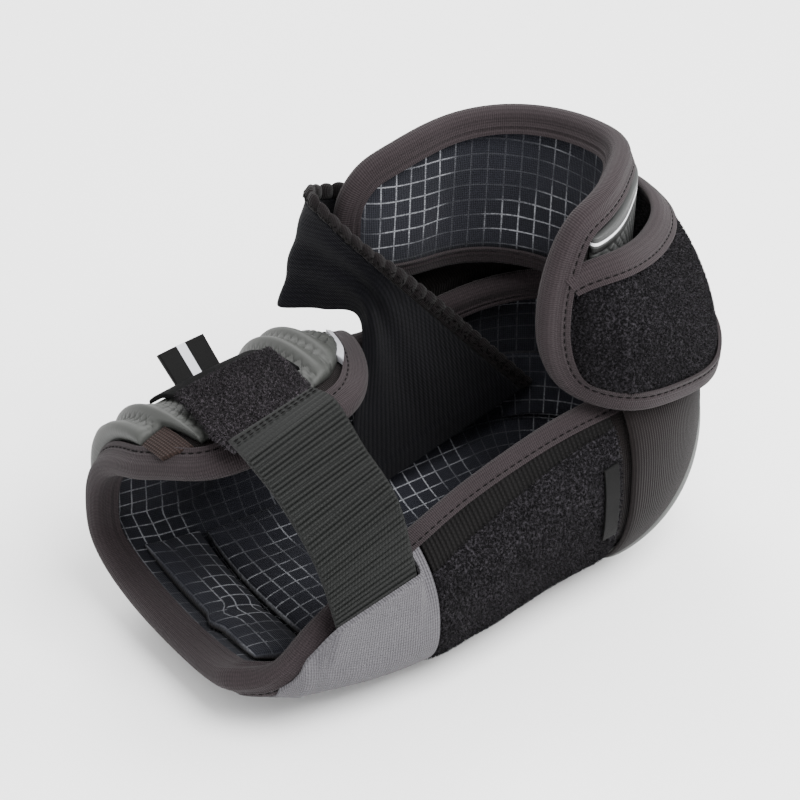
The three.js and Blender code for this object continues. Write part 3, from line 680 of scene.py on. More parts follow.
@dataclass(frozen=True)
class Finish:
    """Finish of a surface: its colour, gloss and sheen."""

    name: str
    color: Rgb
    roughness: float = 0.9
    sheen: float = 0.0
    gloss: float = 0.08

    def material(self) -> bpy.types.Material:
        """The finish's material, made once."""
        found = bpy.data.materials.get(self.name)
        if found:
            return found
        graph = Graph(self.name)
        graph.feed(graph.shader.inputs["Roughness"], self.roughness)
        graph.feed(graph.shader.inputs["Sheen Weight"], self.sheen)
        graph.feed(graph.shader.inputs["Sheen Roughness"], 0.5)
        graph.feed(graph.shader.inputs["Specular IOR Level"], self.gloss)
        self.paint(graph)
        return graph.material

    def paint(self, graph: Graph) -> None:
        """Adds the finish's own pattern."""
        graph.feed(graph.shader.inputs["Base Color"], self.color)


@dataclass(frozen=True)
class RibKnit(Finish):
    """Knit cloth with fine ribs."""

    pitch: float = 0.9
    dark: float = 0.55
    light: float = 1.25
    depth: float = 0.25

    LOOP = 1.3  # length of a loop of yarn, as a share of the ribs' pitch

    def ribs(self, graph: Graph) -> tuple[object, object]:
        """Colour and height of the ribs."""
        along, across = graph.cloth()
        rib = graph.wave(along, self.pitch)
        loop = graph.wave(across, self.pitch * self.LOOP)
        yarn = graph.number("MULTIPLY_ADD", loop, 0.35, graph.number("MULTIPLY", rib, 0.65))
        fuzz = graph.noise(0.7, 2.0)
        worn = graph.noise(28.0, 3.0)
        share = graph.number("MULTIPLY_ADD", fuzz, 0.6, graph.number("MULTIPLY", yarn, 0.6))
        share = graph.number("MULTIPLY_ADD", graph.number("SUBTRACT", worn, 0.5), 0.5, share)
        color = graph.mix(share, shaded(self.color, self.dark), shaded(self.color, self.light))
        height = graph.number("MULTIPLY_ADD", fuzz, 0.3, yarn)
        return color, height

    def paint(self, graph: Graph) -> None:
        """Adds the ribs."""
        color, height = self.ribs(graph)
        graph.set(color, height, self.depth)


class Facing(Enum):
    """Face of a skin that shows its right side."""

    INNER = 0
    OUTER = 1


@dataclass(frozen=True)
class GridKnit(RibKnit):
    """Liner knit with a broken grid of pale yarn on one face, and plain backing on the other."""

    facing: Facing = Facing.INNER
    backing: Rgb = (0.008, 0.0064, 0.0064)
    yarn: Rgb = (0.24, 0.245, 0.265)
    cell: float = 7.0
    line: float = 0.42
    patch: float = 34.0
    start: float = 0.44
    end: float = 0.66

    def paint(self, graph: Graph) -> None:
        """Adds the ribs and the pale grid over them."""
        color, height = self.ribs(graph)
        along, across = graph.cloth()
        lines = (graph.line(way, self.cell, self.line) for way in (along, across))
        grid = graph.number("MAXIMUM", *lines)
        faded = graph.ramp(graph.noise(self.patch, 1.0), self.start, self.end, 0.1, 1.0)
        broken = graph.ramp(graph.noise(1.2, 2.0), 0.3, 0.65, 0.45, 1.0)
        share = graph.number("MULTIPLY", grid, graph.number("MULTIPLY", faded, broken))
        hidden = graph.number("ABSOLUTE", graph.number("SUBTRACT", graph.relief(), self.facing.value))
        color = graph.mix(hidden, graph.mix(share, color, self.yarn), self.backing)
        graph.set(color, height, self.depth)


@dataclass(frozen=True)
class Pile(Finish):
    """Brushed loop pile, with pale flecks where the loops catch light."""

    fleck: Rgb = (0.035, 0.033, 0.037)

    def paint(self, graph: Graph) -> None:
        """Adds the loops and flecks."""
        loops = graph.noise(1.1, 4.0)
        worn = graph.noise(16.0, 3.0)
        share = graph.ramp(loops, 0.42, 0.72)
        share = graph.number("MULTIPLY", share, graph.ramp(worn, 0.2, 0.8, 0.55, 1.0))
        graph.set(graph.mix(share, self.color, self.fleck), loops, 1.1)


@dataclass(frozen=True)
class Moulded(Finish):
    """Moulded rubber with painted shade in its grooves, an optional band of painted groove shade and an
    optional painted line.
    """

    line: Optional[tuple[float, float]] = None
    # place across the piece and width of a dark band of painted shade for a groove, in millimetres
    groove: Optional[tuple[float, float]] = None
    paint_color: Rgb = (0.78, 0.78, 0.80)

    def paint(self, graph: Graph) -> None:
        """Adds the painted shade in the grooves, the grain, the painted groove band and the line."""
        relief = graph.relief()
        cloud = graph.noise(22.0, 4.0)
        grain = graph.noise(0.5, 2.0)
        color = graph.mix(cloud, shaded(self.color, 0.82), shaded(self.color, 1.15))
        # painted shade: darker where the relief is low, in the grooves
        low = graph.ramp(relief, 0.15, 0.75, 1.0, 0.0)
        color = graph.mix(graph.number("MULTIPLY", low, 0.62), color, shaded(self.color, 0.3))
        across = graph.cloth()[1]
        # the groove band is painted shade; the line is the rubber's pale print
        for band, shade in ((self.groove, shaded(self.color, 0.08)), (self.line, self.paint_color)):
            if band:
                away = graph.number("ABSOLUTE", graph.number("SUBTRACT", across, band[0] * MM))
                edge = graph.ramp(away, band[1] * MM / 2 * 0.8, band[1] * MM / 2, 1.0, 0.0)
                color = graph.mix(edge, color, shade)
        graph.set(color, graph.number("MULTIPLY_ADD", grain, 0.25, relief), 0.12)


@dataclass(frozen=True)
class Woven(Finish):
    """Coarse woven cloth of warp and weft, with a painted highlight on its raised threads and painted shade
    between them.
    """

    warp: float = 1.2
    weft: float = 1.2
    slant: float = 0.0
    depth: float = 0.3
    dark: float = 0.35
    light: float = 1.5

    def paint(self, graph: Graph) -> None:
        """Adds the threads, with painted highlight and shade that follow their height."""
        along, across = graph.cloth()
        leaning = graph.number("MULTIPLY_ADD", across, self.slant, along)
        first = graph.wave(leaning, self.warp)
        second = graph.wave(across, self.weft)
        thread = graph.number("MULTIPLY", first, graph.number("MULTIPLY_ADD", second, 0.6, 0.4))
        fuzz = graph.noise(0.6, 2.0)
        worn = graph.noise(20.0, 3.0)
        # partly random tone, partly painted highlight and shade that follow the threads' height
        share = graph.number("MULTIPLY_ADD", fuzz, 0.45, graph.number("MULTIPLY", thread, 0.7))
        share = graph.number("MULTIPLY_ADD", graph.number("SUBTRACT", worn, 0.5), 0.6, share)
        color = graph.mix(share, shaded(self.color, self.dark), shaded(self.color, self.light))
        graph.set(color, graph.number("MULTIPLY_ADD", fuzz, 0.25, thread), self.depth)


@dataclass(frozen=True)
class Raised(Finish):
    """Webbing whose ribs are in its mesh, with painted shade between them and a painted highlight on their
    crowns.
    """

    # colour of the painted highlight on the ribs' crowns
    crown: Rgb = (0.075, 0.085, 0.078)

    def paint(self, graph: Graph) -> None:
        """Paints shade and highlight on the ribs by their height."""
        fuzz = graph.noise(0.45, 2.0)
        # painted highlight on high relief, painted shade on low relief
        share = graph.number("MULTIPLY", graph.relief(), graph.ramp(fuzz, 0.25, 0.7, 0.45, 1.0))
        graph.set(graph.mix(share, self.color, self.crown), fuzz, 0.15)


@dataclass(frozen=True)
class Banded(Finish):
    """Smooth ribbon with a pale band across it."""

    band: tuple[float, float] = (0.0, 0.0)
    pale: Rgb = (0.55, 0.56, 0.6)

    def paint(self, graph: Graph) -> None:
        """Adds the fine weave and the band."""
        along, across = graph.cloth()
        weave = graph.number("MULTIPLY", graph.wave(along, 0.5), graph.wave(across, 0.5))
        color = graph.mix(weave, shaded(self.color, 0.6), shaded(self.color, 1.5))
        away = graph.number("ABSOLUTE", graph.number("SUBTRACT", along, self.band[0] * MM))
        inside = graph.ramp(away, self.band[1] * MM * 0.46, self.band[1] * MM * 0.5, 1.0, 0.0)
        graph.set(graph.mix(inside, color, self.pale), weave, 0.1)


LINER = GridKnit("liner_knit", (0.0105, 0.011, 0.0145), 0.95, 0.05, pitch=0.8, dark=0.35, light=1.9)
CUSHION = replace(LINER, name="cushion_knit", facing=Facing.OUTER)
TAPE_KNIT = RibKnit("binding_knit", (0.0185, 0.0144, 0.0156), 0.9, 0.05, pitch=0.85, dark=0.45, light=1.5)
KNIT = RibKnit("panel_knit", (0.082, 0.079, 0.086), 0.95, 0.05, pitch=1.1, dark=0.45, light=1.3, depth=0.4)
LOOP_PILE = Pile("black_plush", (0.0035, 0.0032, 0.0038), 1.0, 0.02, fleck=(0.035, 0.032, 0.037))
PATCH_PILE = Pile("patch_pile", (0.006, 0.0052, 0.006), 1.0, 0.04, fleck=(0.065, 0.056, 0.065))
MESH = Woven(
    "black_mesh", (0.0025, 0.0023, 0.0023), 0.8, 0.02, warp=2.0, weft=1.6, depth=0.6, dark=0.2, light=2.2
)
WOVEN = Woven(
    "elbow_weave", (0.0062, 0.0046, 0.0046), 0.9, 0.04, warp=1.3, weft=0.8, depth=0.25, dark=0.45, light=1.4
)
RUST_MESH = Woven(
    "rust_mesh", (0.0165, 0.0098, 0.0083), 0.85, 0.04, warp=1.3, weft=1.3, depth=0.4, dark=0.3, light=1.6
)
RUBBER = Moulded("grey_rubber", (0.033, 0.0345, 0.032), 0.55, gloss=0.25)
CAP_RUBBER = Moulded("cap_rubber", (0.095, 0.097, 0.094), 0.5, gloss=0.25)
# groove: a dark band of painted shade beside the pale line
UPPER_RUBBER = Moulded(
    "upper_rubber", (0.03, 0.031, 0.0305), 0.5, gloss=0.25, line=(30.0, 1.5), groove=(27.2, 2.4)
)
# crown: colour of the painted highlight on the webbing's ribs and on the hooks
WEB = Raised("ribbed_webbing", (0.0022, 0.0025, 0.0023), 0.6, gloss=0.15, crown=(0.0075, 0.0083, 0.0076))
HOOK = Raised("hook_tape", (0.001, 0.001, 0.001), 0.9, 0.0, gloss=0.03, crown=(0.006, 0.006, 0.0064))
TWILL = Woven(
    "sling_twill", (0.0017, 0.0017, 0.0027), 0.8, 0.03, warp=1.2, weft=2.4, slant=1.0, depth=0.35, light=3.0
)
EDGE_KNIT = RibKnit("edging_knit", (0.0062, 0.005, 0.0053), 0.9, 0.05, pitch=0.8, dark=0.5, light=1.5)
PIPING = Woven(
    "pale_piping", (0.42, 0.42, 0.45), 0.5, 0.1, warp=0.7, weft=0.7, depth=0.15, dark=0.7, light=1.2
)
TAG = Banded("black_tag", (0.004, 0.004, 0.004), 0.6)
PULL = Banded("pull_tag", (0.004, 0.004, 0.004), 0.6, band=(10.5, 4.2))
THREAD = Finish("dark_thread", (0.002, 0.0018, 0.0018), 0.8)


class Recipe:
    """Geometry node tree with named sizes, baked from an object to a plain mesh."""

    SEED = 7

    def __init__(self, name: str) -> None:
        """Starts a tree with its way in and out."""
        self.tree = bpy.data.node_groups.new(name, "GeometryNodeTree")
        self.tree.interface.new_socket("Geometry", in_out="INPUT", socket_type="NodeSocketGeometry")
        self.tree.interface.new_socket("Geometry", in_out="OUTPUT", socket_type="NodeSocketGeometry")
        self.start = self.tree.nodes.new("NodeGroupInput")
        self.end = self.tree.nodes.new("NodeGroupOutput")
        self.sizes: dict[str, str] = {}

    def size(self, name: str) -> bpy.types.NodeSocket:
        """Adds a named size to the tree's inputs."""
        item = self.tree.interface.new_socket(name, in_out="INPUT", socket_type="NodeSocketFloat")
        self.sizes[name] = item.identifier
        return self.start.outputs[name]

    def add(self, kind: str, feeds: dict[str, object], **settings: object) -> bpy.types.Node:
        """Adds a node with its settings, and joins or sets its inputs."""
        node = self.tree.nodes.new(kind)
        for name, value in settings.items():
            setattr(node, name, value)
        for name, value in feeds.items():
            if isinstance(value, bpy.types.NodeSocket):
                self.tree.links.new(value, node.inputs[name])
            else:
                node.inputs[name].default_value = value
        return node

    def close(self, instances: bpy.types.NodeSocket, material: bpy.types.Material) -> None:
        """Ends the tree with real faces in one material."""
        real = self.add("GeometryNodeRealizeInstances", {"Geometry": instances})
        painted = self.add("GeometryNodeSetMaterial", {"Geometry": real.outputs[0], "Material": material})
        self.tree.links.new(painted.outputs[0], self.end.inputs[0])

    def bake(self, source: bpy.types.Object, name: str, **sizes: float) -> bpy.types.Object:
        """Runs the tree on an object.

        Args:
            source: Object whose mesh goes in; it stays as it is.
            name: Name of the new object.
            sizes: Value in metres, or a count, for each named size.

        Returns:
            A new object with the result as a plain mesh.
        """
        modifier = source.modifiers.new(self.tree.name, "NODES")
        modifier.node_group = self.tree
        for key, value in sizes.items():
            modifier[self.sizes[key]] = value
        graph = bpy.context.evaluated_depsgraph_get()
        mesh = bpy.data.meshes.new_from_object(source.evaluated_get(graph))
        source.modifiers.remove(modifier)
        mesh.name = name
        mesh.shade_smooth()
        return link(mesh, name)


def bead_recipe(name: str, finish: Finish, segments: int, rings: int) -> Recipe:
    """Recipe for long round beads along a path, such as stitches.

    Args:
        name: Name of the tree.
        finish: Finish of the beads.
        segments: Sides round each bead.
        rings: Rings along each bead.

    Returns:
        The recipe, with the sizes pitch, length and width.
    """
    recipe = Recipe(name)
    pitch, length, width = (recipe.size(key) for key in ("pitch", "length", "width"))
    path = recipe.add("GeometryNodeMeshToCurve", {"Mesh": recipe.start.outputs["Geometry"]})
    feeds = {"Curve": path.outputs[0], "Length": pitch}
    points = recipe.add("GeometryNodeCurveToPoints", feeds, mode="LENGTH")
    bead = recipe.add("GeometryNodeMeshUVSphere", {"Segments": segments, "Rings": rings, "Radius": 0.5})
    turn = recipe.add("FunctionNodeAlignRotationToVector", {"Vector": points.outputs["Tangent"]}, axis="Z")
    scale = recipe.add("ShaderNodeCombineXYZ", {"X": width, "Y": width, "Z": length})
    feeds = {"Points": points.outputs["Points"], "Instance": bead.outputs["Mesh"]}
    feeds |= {"Rotation": turn.outputs[0], "Scale": scale.outputs[0]}
    recipe.close(recipe.add("GeometryNodeInstanceOnPoints", feeds).outputs[0], finish.material())
    return recipe


def pile_recipe(name: str, finish: Finish) -> Recipe:
    """Recipe for the tufts of a pile, spread over the outer face of a skin.

    Args:
        name: Name of the tree.
        finish: Finish of the tufts.

    Returns:
        The recipe, with the sizes density, height and width.
    """
    recipe = Recipe(name)
    density, height, width = (recipe.size(key) for key in ("density", "height", "width"))
    outside = recipe.add("GeometryNodeInputNamedAttribute", {"Name": "relief"}, data_type="FLOAT")
    thick = recipe.add("ShaderNodeMath", {}, operation="MULTIPLY")
    recipe.tree.links.new(outside.outputs[0], thick.inputs[0])
    recipe.tree.links.new(density, thick.inputs[1])
    feeds = {"Mesh": recipe.start.outputs["Geometry"], "Density": thick.outputs[0], "Seed": recipe.SEED}
    points = recipe.add("GeometryNodeDistributePointsOnFaces", feeds)
    sizes = {"Vertices": 3, "Side Segments": 1, "Radius Top": 0.1, "Radius Bottom": 0.5, "Depth": 1.0}
    tuft = recipe.add("GeometryNodeMeshCone", sizes, fill_type="NONE")
    lean = recipe.add("FunctionNodeRandomValue", {"Seed": recipe.SEED}, data_type="FLOAT_VECTOR")
    most = (0.8, 0.8, 3.0)  # lean to two sides and twist, in radians
    lean.inputs[0].default_value = tuple(-angle for angle in most)
    lean.inputs[1].default_value = most
    tilt = recipe.add("FunctionNodeEulerToRotation", {"Euler": lean.outputs[0]})
    feeds = {"Rotation": points.outputs["Rotation"], "Rotate By": tilt.outputs[0]}
    turn = recipe.add("FunctionNodeRotateRotation", feeds, rotation_space="LOCAL")
    scale = recipe.add("ShaderNodeCombineXYZ", {"X": width, "Y": width, "Z": height})
    feeds = {"Points": points.outputs["Points"], "Instance": tuft.outputs["Mesh"]}
    feeds |= {"Rotation": turn.outputs[0], "Scale": scale.outputs[0]}
    recipe.close(recipe.add("GeometryNodeInstanceOnPoints", feeds).outputs[0], finish.material())
    return recipe


def guide(points: Array) -> bpy.types.Object:
    """Open line of edges through points in millimetres, for a recipe to follow."""
    mesh = bpy.data.meshes.new("guide")
    edges = [(k, k + 1) for k in range(len(points) - 1)]
    mesh.from_pydata(((points - MIDDLE) * MM).tolist(), edges, [])
    return link(mesh, "guide")


def drop(item: bpy.types.Object) -> None:
    """Removes a helper object and its mesh."""
    mesh = item.data
    bpy.data.objects.remove(item)
    bpy.data.meshes.remove(mesh)


@dataclass
class Cushion:
    """Stuffed cushion whose top is swelled by simulated cloth, while its sewn base stays in place.

    Args:
        pressure: Air pressure inside the cloth.
        frames: Steps of the simulation.
        reach: How far a point may move, in millimetres.
    """

    pressure: float = 3.0
    frames: int = 14
    reach: float = 2.4

    def swell(self, item: bpy.types.Object) -> None:
        """Swells the object's top and rounds it off."""
        start = self._points(item.data)
        self._sew_down(item)
        cloth = item.modifiers.new("cloth", "CLOTH")
        cloth.settings.vertex_group_mass = "sewn"
        cloth.settings.use_pressure = True
        cloth.settings.uniform_pressure_force = self.pressure
        cloth.settings.effector_weights.gravity = 0
        for step in range(1, self.frames + 1):
            bpy.context.scene.frame_set(step)
        self._take(item)
        bpy.context.scene.frame_set(1)
        moved = self._points(item.data) - start
        far = np.linalg.norm(moved, axis=1, keepdims=True)
        kept = np.minimum(1, self.reach * MM / np.maximum(far, 1e-9))
        item.data.vertices.foreach_set("co", (start + moved * kept).ravel())
        item.vertex_groups.clear()
        fine = item.modifiers.new("fine", "SUBSURF")
        fine.levels = 1
        fine.render_levels = 1
        self._take(item)
        item.data.shade_smooth()

    @staticmethod
    def _sew_down(item: bpy.types.Object) -> None:
        """Holds the points of the base, where the relief is 0."""
        relief = item.data.attributes["relief"].data
        base = [vertex.index for vertex in item.data.vertices if relief[vertex.index].value < 0.5]
        item.vertex_groups.new(name="sewn").add(base, 1.0, "REPLACE")

    @staticmethod
    def _points(mesh: bpy.types.Mesh) -> Array:
        """The mesh's points as an array."""
        points = np.empty(len(mesh.vertices) * 3)
        mesh.vertices.foreach_get("co", points)
        return points.reshape(-1, 3)

    @staticmethod
    def _take(item: bpy.types.Object) -> None:
        """Applies the object's modifiers to its mesh."""
        graph = bpy.context.evaluated_depsgraph_get()
        mesh = bpy.data.meshes.new_from_object(item.evaluated_get(graph))
        old = item.data
        item.modifiers.clear()
        item.data = mesh
        bpy.data.meshes.remove(old)
        mesh.name = item.name


class Slot(Enum):
    """Material slot of the part that a piece belongs to."""

    LINER = "liner"
    TAPE = "tape"
    KNIT = "knit"
    LOOP_PILE = "loop_pile"
    MESH = "mesh"
    WOVEN = "woven"
    RUBBER = "rubber"
    WEBBING = "webbing"
    ELASTIC = "elastic"
    STRIP = "strip"
    TAG = "tag"


class Hold(Enum):
    """Way that a sheet of cloth is held in its place."""

    STRETCHED = "stretched"
    LAID = "laid"


@dataclass
class Cloth:
    """Facts of a sheet of cloth: its skin, what it rests on and how it is held."""

    skin: Skin
    rests_on: tuple[str, ...] = ("arm_pad",)
    held: Hold = Hold.STRETCHED


@dataclass
class Piece:
    """Finished piece: its object, its finish and what it stands for."""

    item: bpy.types.Object
    finish: Finish
    slot: Slot
    nodes: tuple[str, ...] = ()
    fill: Optional[float] = None
    cloth: Optional[Cloth] = None
    trim: list[bpy.types.Object] = field(default_factory=list)

    def settle(self) -> None:
        """Paints the piece and fixes it to the part."""
        self.item.data.materials.clear()
        self.item.data.materials.append(self.finish.material())
        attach(self.item, BODY)
        if self.nodes:
            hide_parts(*self.nodes)
        if self.cloth:
            flat, area = self.cloth.skin.cut()
            list(self.cloth.rests_on)
            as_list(self.trim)
        LOG.info("%s: %d faces, slot %s", self.item.name, len(self.item.data.polygons), self.slot.value)


@dataclass
class Edge:
    """Edge of a wall that a binding tape is folded over.

    Args:
        face: The wall's surface.
        u: First coordinate of each station on it.
        v: Second coordinate of each station.
        inner: The wall's inner distance at each station.
        outer: The wall's outer distance at each station.
        goal_u: First coordinate of a place that the edge's inner side faces.
        goal_v: Second coordinate of that place.
    """

    face: Surface
    u: Array
    v: Array
    inner: Array
    outer: Array
    goal_u: Array
    goal_v: Array

    STEP_U = 0.05
    STEP_V = 0.5

    def __post_init__(self) -> None:
        """Works out which way is in from the edge."""
        ends = self.face(self.u + self.STEP_U, self.v, 0), self.face(self.u - self.STEP_U, self.v, 0)
        sides = self.face(self.u, self.v + self.STEP_V, 0), self.face(self.u, self.v - self.STEP_V, 0)
        scale_u = np.linalg.norm(ends[0] - ends[1], axis=-1) / (2 * self.STEP_U)
        scale_v = np.linalg.norm(sides[0] - sides[1], axis=-1) / (2 * self.STEP_V)
        way = unit(np.stack([-np.gradient(self.v) * scale_v, np.gradient(self.u) * scale_u], -1))
        goal = np.stack([(self.goal_u - self.u) * scale_u, (self.goal_v - self.v) * scale_v], -1)
        way = np.where(np.sum(way * goal, -1, keepdims=True) < 0, -way, way)
        self.step_u = way[:, 0] / scale_u
        self.step_v = way[:, 1] / scale_v

    def at(self, inset: Array, distance: Array) -> Array:
        """Points that far in from the edge and out from the wall's surface, for each station."""
        u = self.u[:, None] + self.step_u[:, None] * inset
        v = self.v[:, None] + self.step_v[:, None] * inset
        return self.face(u, v, distance)


@dataclass
class Binding:
    """Binding tape folded over one or more edges in a row, with a rolled fold.

    Args:
        outside: How far the tape reaches onto the outer face.
        inside: How far it reaches onto the inner face.
        thick: Its thickness.
        seat: Left between the tape and the wall.
        squeeze: Share by which the fold presses the wall's edge together.
        nose: How far the fold stands out, as a share of its half height.
        puff: Fullness of the tape between its fold and its stitches.
        roll: From the fold to the dent below its roll.
        stitch: From the tape's outer edge to its stitches.
        pinch: How deep the dent and the stitches pull in.
        blend: Stations over which a corner is rounded.
    """

    outside: float = 5.6
    inside: float = 5.8
    thick: float = TAPE
    seat: float = TAPE_SEAT
    squeeze: float = 0.42
    nose: float = 0.34
    puff: float = 0.5
    roll: float = 1.6
    stitch: float = 2.0
    pinch: float = 0.6
    blend: float = 5.0

    LEG_CELLS = 13
    FOLD_CELLS = 11
    LIFT = 0.15

    def leg(self, edge: Edge, reach: float, half: Array, middle: Array, side: int) -> list[Array]:
        """Outer and inner faces of one leg, from its edge to the fold."""
        inset = np.linspace(reach, 0, self.LEG_CELLS)[None, :]
        swell = self.puff * np.sin(np.pi * np.clip(inset / (reach - self.stitch), 0, 1))
        dents = bump(inset, reach - self.stitch, 0.8) + 0.8 * bump(inset, self.roll, 0.8)
        swell = swell - self.pinch * dents
        held = half * (1 - self.squeeze * (1 - ease(inset, 0, reach)))
        heights = held + self.thick + swell, held
        return [edge.at(inset, middle + side * height) for height in heights]

    def rings(self, edge: Edge) -> tuple[Array, Array]:
        """Outer and inner faces of the tape along an edge."""
        half = ((edge.outer - edge.inner) / 2 + self.seat)[:, None]
        middle = ((edge.outer + edge.inner) / 2)[:, None]
        legs = self.leg(edge, self.outside, half, middle, 1), self.leg(edge, self.inside, half, middle, -1)
        turned = np.radians(np.linspace(78, -78, self.FOLD_CELLS))[None, :]
        crest = edge.at(np.zeros((1, 1)), middle)
        away = unit(crest - edge.at(np.ones((1, 1)), middle))
        brink = [edge.at(np.zeros((1, 1)), side[:, None]) for side in (edge.outer, edge.inner)]
        up = unit(brink[0] - brink[1])
        held = half * (1 - self.squeeze)
        faces = []
        for layer, thick in enumerate((self.thick, 0.0)):
            rise = (held + thick) * np.sin(turned)
            reach = (self.seat + thick + held * self.nose) * np.cos(turned)
            fold = crest + away * reach[..., None] + up * rise[..., None]
            faces.append(np.concatenate([legs[0][layer], fold, legs[1][layer][:, ::-1]], 1))
        return faces[0], faces[1]

    def sew(self, name: str, edges: Sequence[Edge], looped: bool = False) -> tuple[bpy.types.Object, Array]:
        """Makes the tape.

        Args:
            name: Name of the object.
            edges: Edges in the order that the tape runs.
            looped: Whether the tape closes on itself.

        Returns:
            The tape's object, and the line of its outer stitches in millimetres.
        """
        pairs = [self.rings(edge) for edge in edges]
        outer = self._rounded(np.concatenate([pair[0] for pair in pairs]), looped)
        inner = self._rounded(np.concatenate([pair[1] for pair in pairs]), looped)
        skin = Skin(name, outer, inner, looped)
        share = self.stitch / self.outside * (self.LEG_CELLS - 1)
        cell = int(share)
        line = lerp(outer[:, cell], outer[:, cell + 1], share - cell)
        lift = unit(outer[:, cell] - inner[:, cell]) * self.LIFT
        return skin.build(), line + lift

    def _rounded(self, grid: Array, looped: bool) -> Array:
        """Rounds the corners of the tape's run."""
        reach = int(4 * self.blend)
        weights = bump(np.arange(-reach, reach + 1), 0, self.blend)
        ends = np.pad(grid, ((reach, reach), (0, 0), (0, 0)), mode="wrap" if looped else "edge")
        weights /= weights.sum()
        return sum(weight * ends[k : k + len(grid)] for k, weight in enumerate(weights))


Along = float | Callable[[Array], Array]


def along_piece(value: Along, u: Array) -> Array:
    """A value that is fixed, or that changes along a piece."""
    return value(u) if callable(value) else value + 0 * u


@dataclass
class Patch:
    """Piece that lies on a surface, between two stations and two edges.

    Args:
        name: Name of the object.
        face: Surface that it lies on.
        start: First coordinate where it starts.
        end: First coordinate where it ends.
        low: Second coordinate of one edge.
        high: Second coordinate of the other edge.
        base: Distance of its inner face from the surface.
        thick: Its thickness.
        rows: Rows of points along it.
        columns: Points across it.
        rests: Whether it is pressed flat by the ground.
        extra: Height that is added to its outer face, by coordinates and shares.
        relief: Height of its pattern for the finish, by the same.
    """

    name: str
    face: Surface
    start: float
    end: float
    low: Along
    high: Along
    base: float
    thick: float
    rows: int = 60
    columns: int = 40
    rests: bool = False
    extra: Optional[Callable[[Array, Array, Array, Array], Array]] = None
    relief: Optional[Callable[[Array, Array, Array, Array], Array]] = None

    def skin(self) -> Skin:
        """The piece's skin, with rounded edges."""
        along, across = np.meshgrid(soft_shares(self.rows), soft_shares(self.columns), indexing="ij")
        u = lerp(self.start, self.end, along)
        v = lerp(along_piece(self.low, u), along_piece(self.high, u), across)
        height = self.thick * np.minimum(rounded(along, 0.02), rounded(across, 0.02))
        if self.extra:
            height = height + self.extra(u, v, along, across)
        outer = self.face(u, v, self.base + height)
        inner = self.face(u, v, self.base + 0 * u)
        if self.rests:
            outer[..., 2] = np.maximum(outer[..., 2], REST)
        relief = self.relief(u, v, along, across) if self.relief else None
        return Skin(self.name, outer, inner, relief=relief)


@dataclass
class Stitching:
    """Running stitches in dark thread."""

    pitch: float = 3.4
    length: float = 2.3
    width: float = 0.55

    def __post_init__(self) -> None:
        """Makes the recipe."""
        self.recipe = bead_recipe("stitches", THREAD, 8, 6)

    def sew(self, line: Array, name: str, slot: Slot) -> Piece:
        """Stitches along a line of points in millimetres."""
        path = guide(line)
        sizes = {"pitch": self.pitch * MM, "length": self.length * MM, "width": self.width * MM}
        item = self.recipe.bake(path, name, **sizes)
        drop(path)
        return Piece(item, THREAD, slot)

    def bind(self, name: str, seam: str, edges: Sequence[Edge], looped: bool = False) -> list[Piece]:
        """Folds a binding tape over edges and stitches it.

        Args:
            name: Name of the tape's object and of the node that it replaces.
            seam: Name of the stitches' object.
            edges: Edges in the order that the tape runs.
            looped: Whether the tape closes on itself.

        Returns:
            The tape and its stitches.
        """
        item, line = Binding().sew(name, edges, looped)
        stitches = self.sew(line, seam, Slot.TAPE)
        return [Piece(item, TAPE_KNIT, Slot.TAPE, (name,)), stitches]


@dataclass
class Tufting:
    """Short tufts of a loop pile.

    Args:
        finish: Finish of the tufts and of the cloth that they stand on.
        density: Tufts on a square millimetre.
        height: Height of a tuft.
        width: Its width at the foot.
    """

    finish: Finish
    density: float
    height: float = 1.3
    width: float = 0.5

    def panel(self, skin: Skin, cloth: Cloth) -> list[Piece]:
        """Makes a panel of pile: its cloth, which replaces the node of its name, and its tufts."""
        item = skin.build()
        name = f"{item.name}_tufts"
        recipe = pile_recipe(name, self.finish)
        sizes = {"density": self.density / MM**2, "height": self.height * MM, "width": self.width * MM}
        tufts = Piece(recipe.bake(item, name, **sizes), self.finish, Slot.LOOP_PILE)
        nodes = (skin.name,)
        return [Piece(item, self.finish, Slot.LOOP_PILE, nodes, cloth=cloth, trim=[tufts.item]), tufts]


class Assembly:
    """Group of pieces that are made together."""

    def build(self) -> list[Piece]:
        """Makes the group's pieces."""
        raise NotImplementedError

    def dress(self) -> None:
        """Makes the pieces and fixes them to the part."""
        pieces = self.build()
        for piece in pieces:
            piece.settle()
        LOG.info("%s: %d pieces", type(self).__name__, len(pieces))


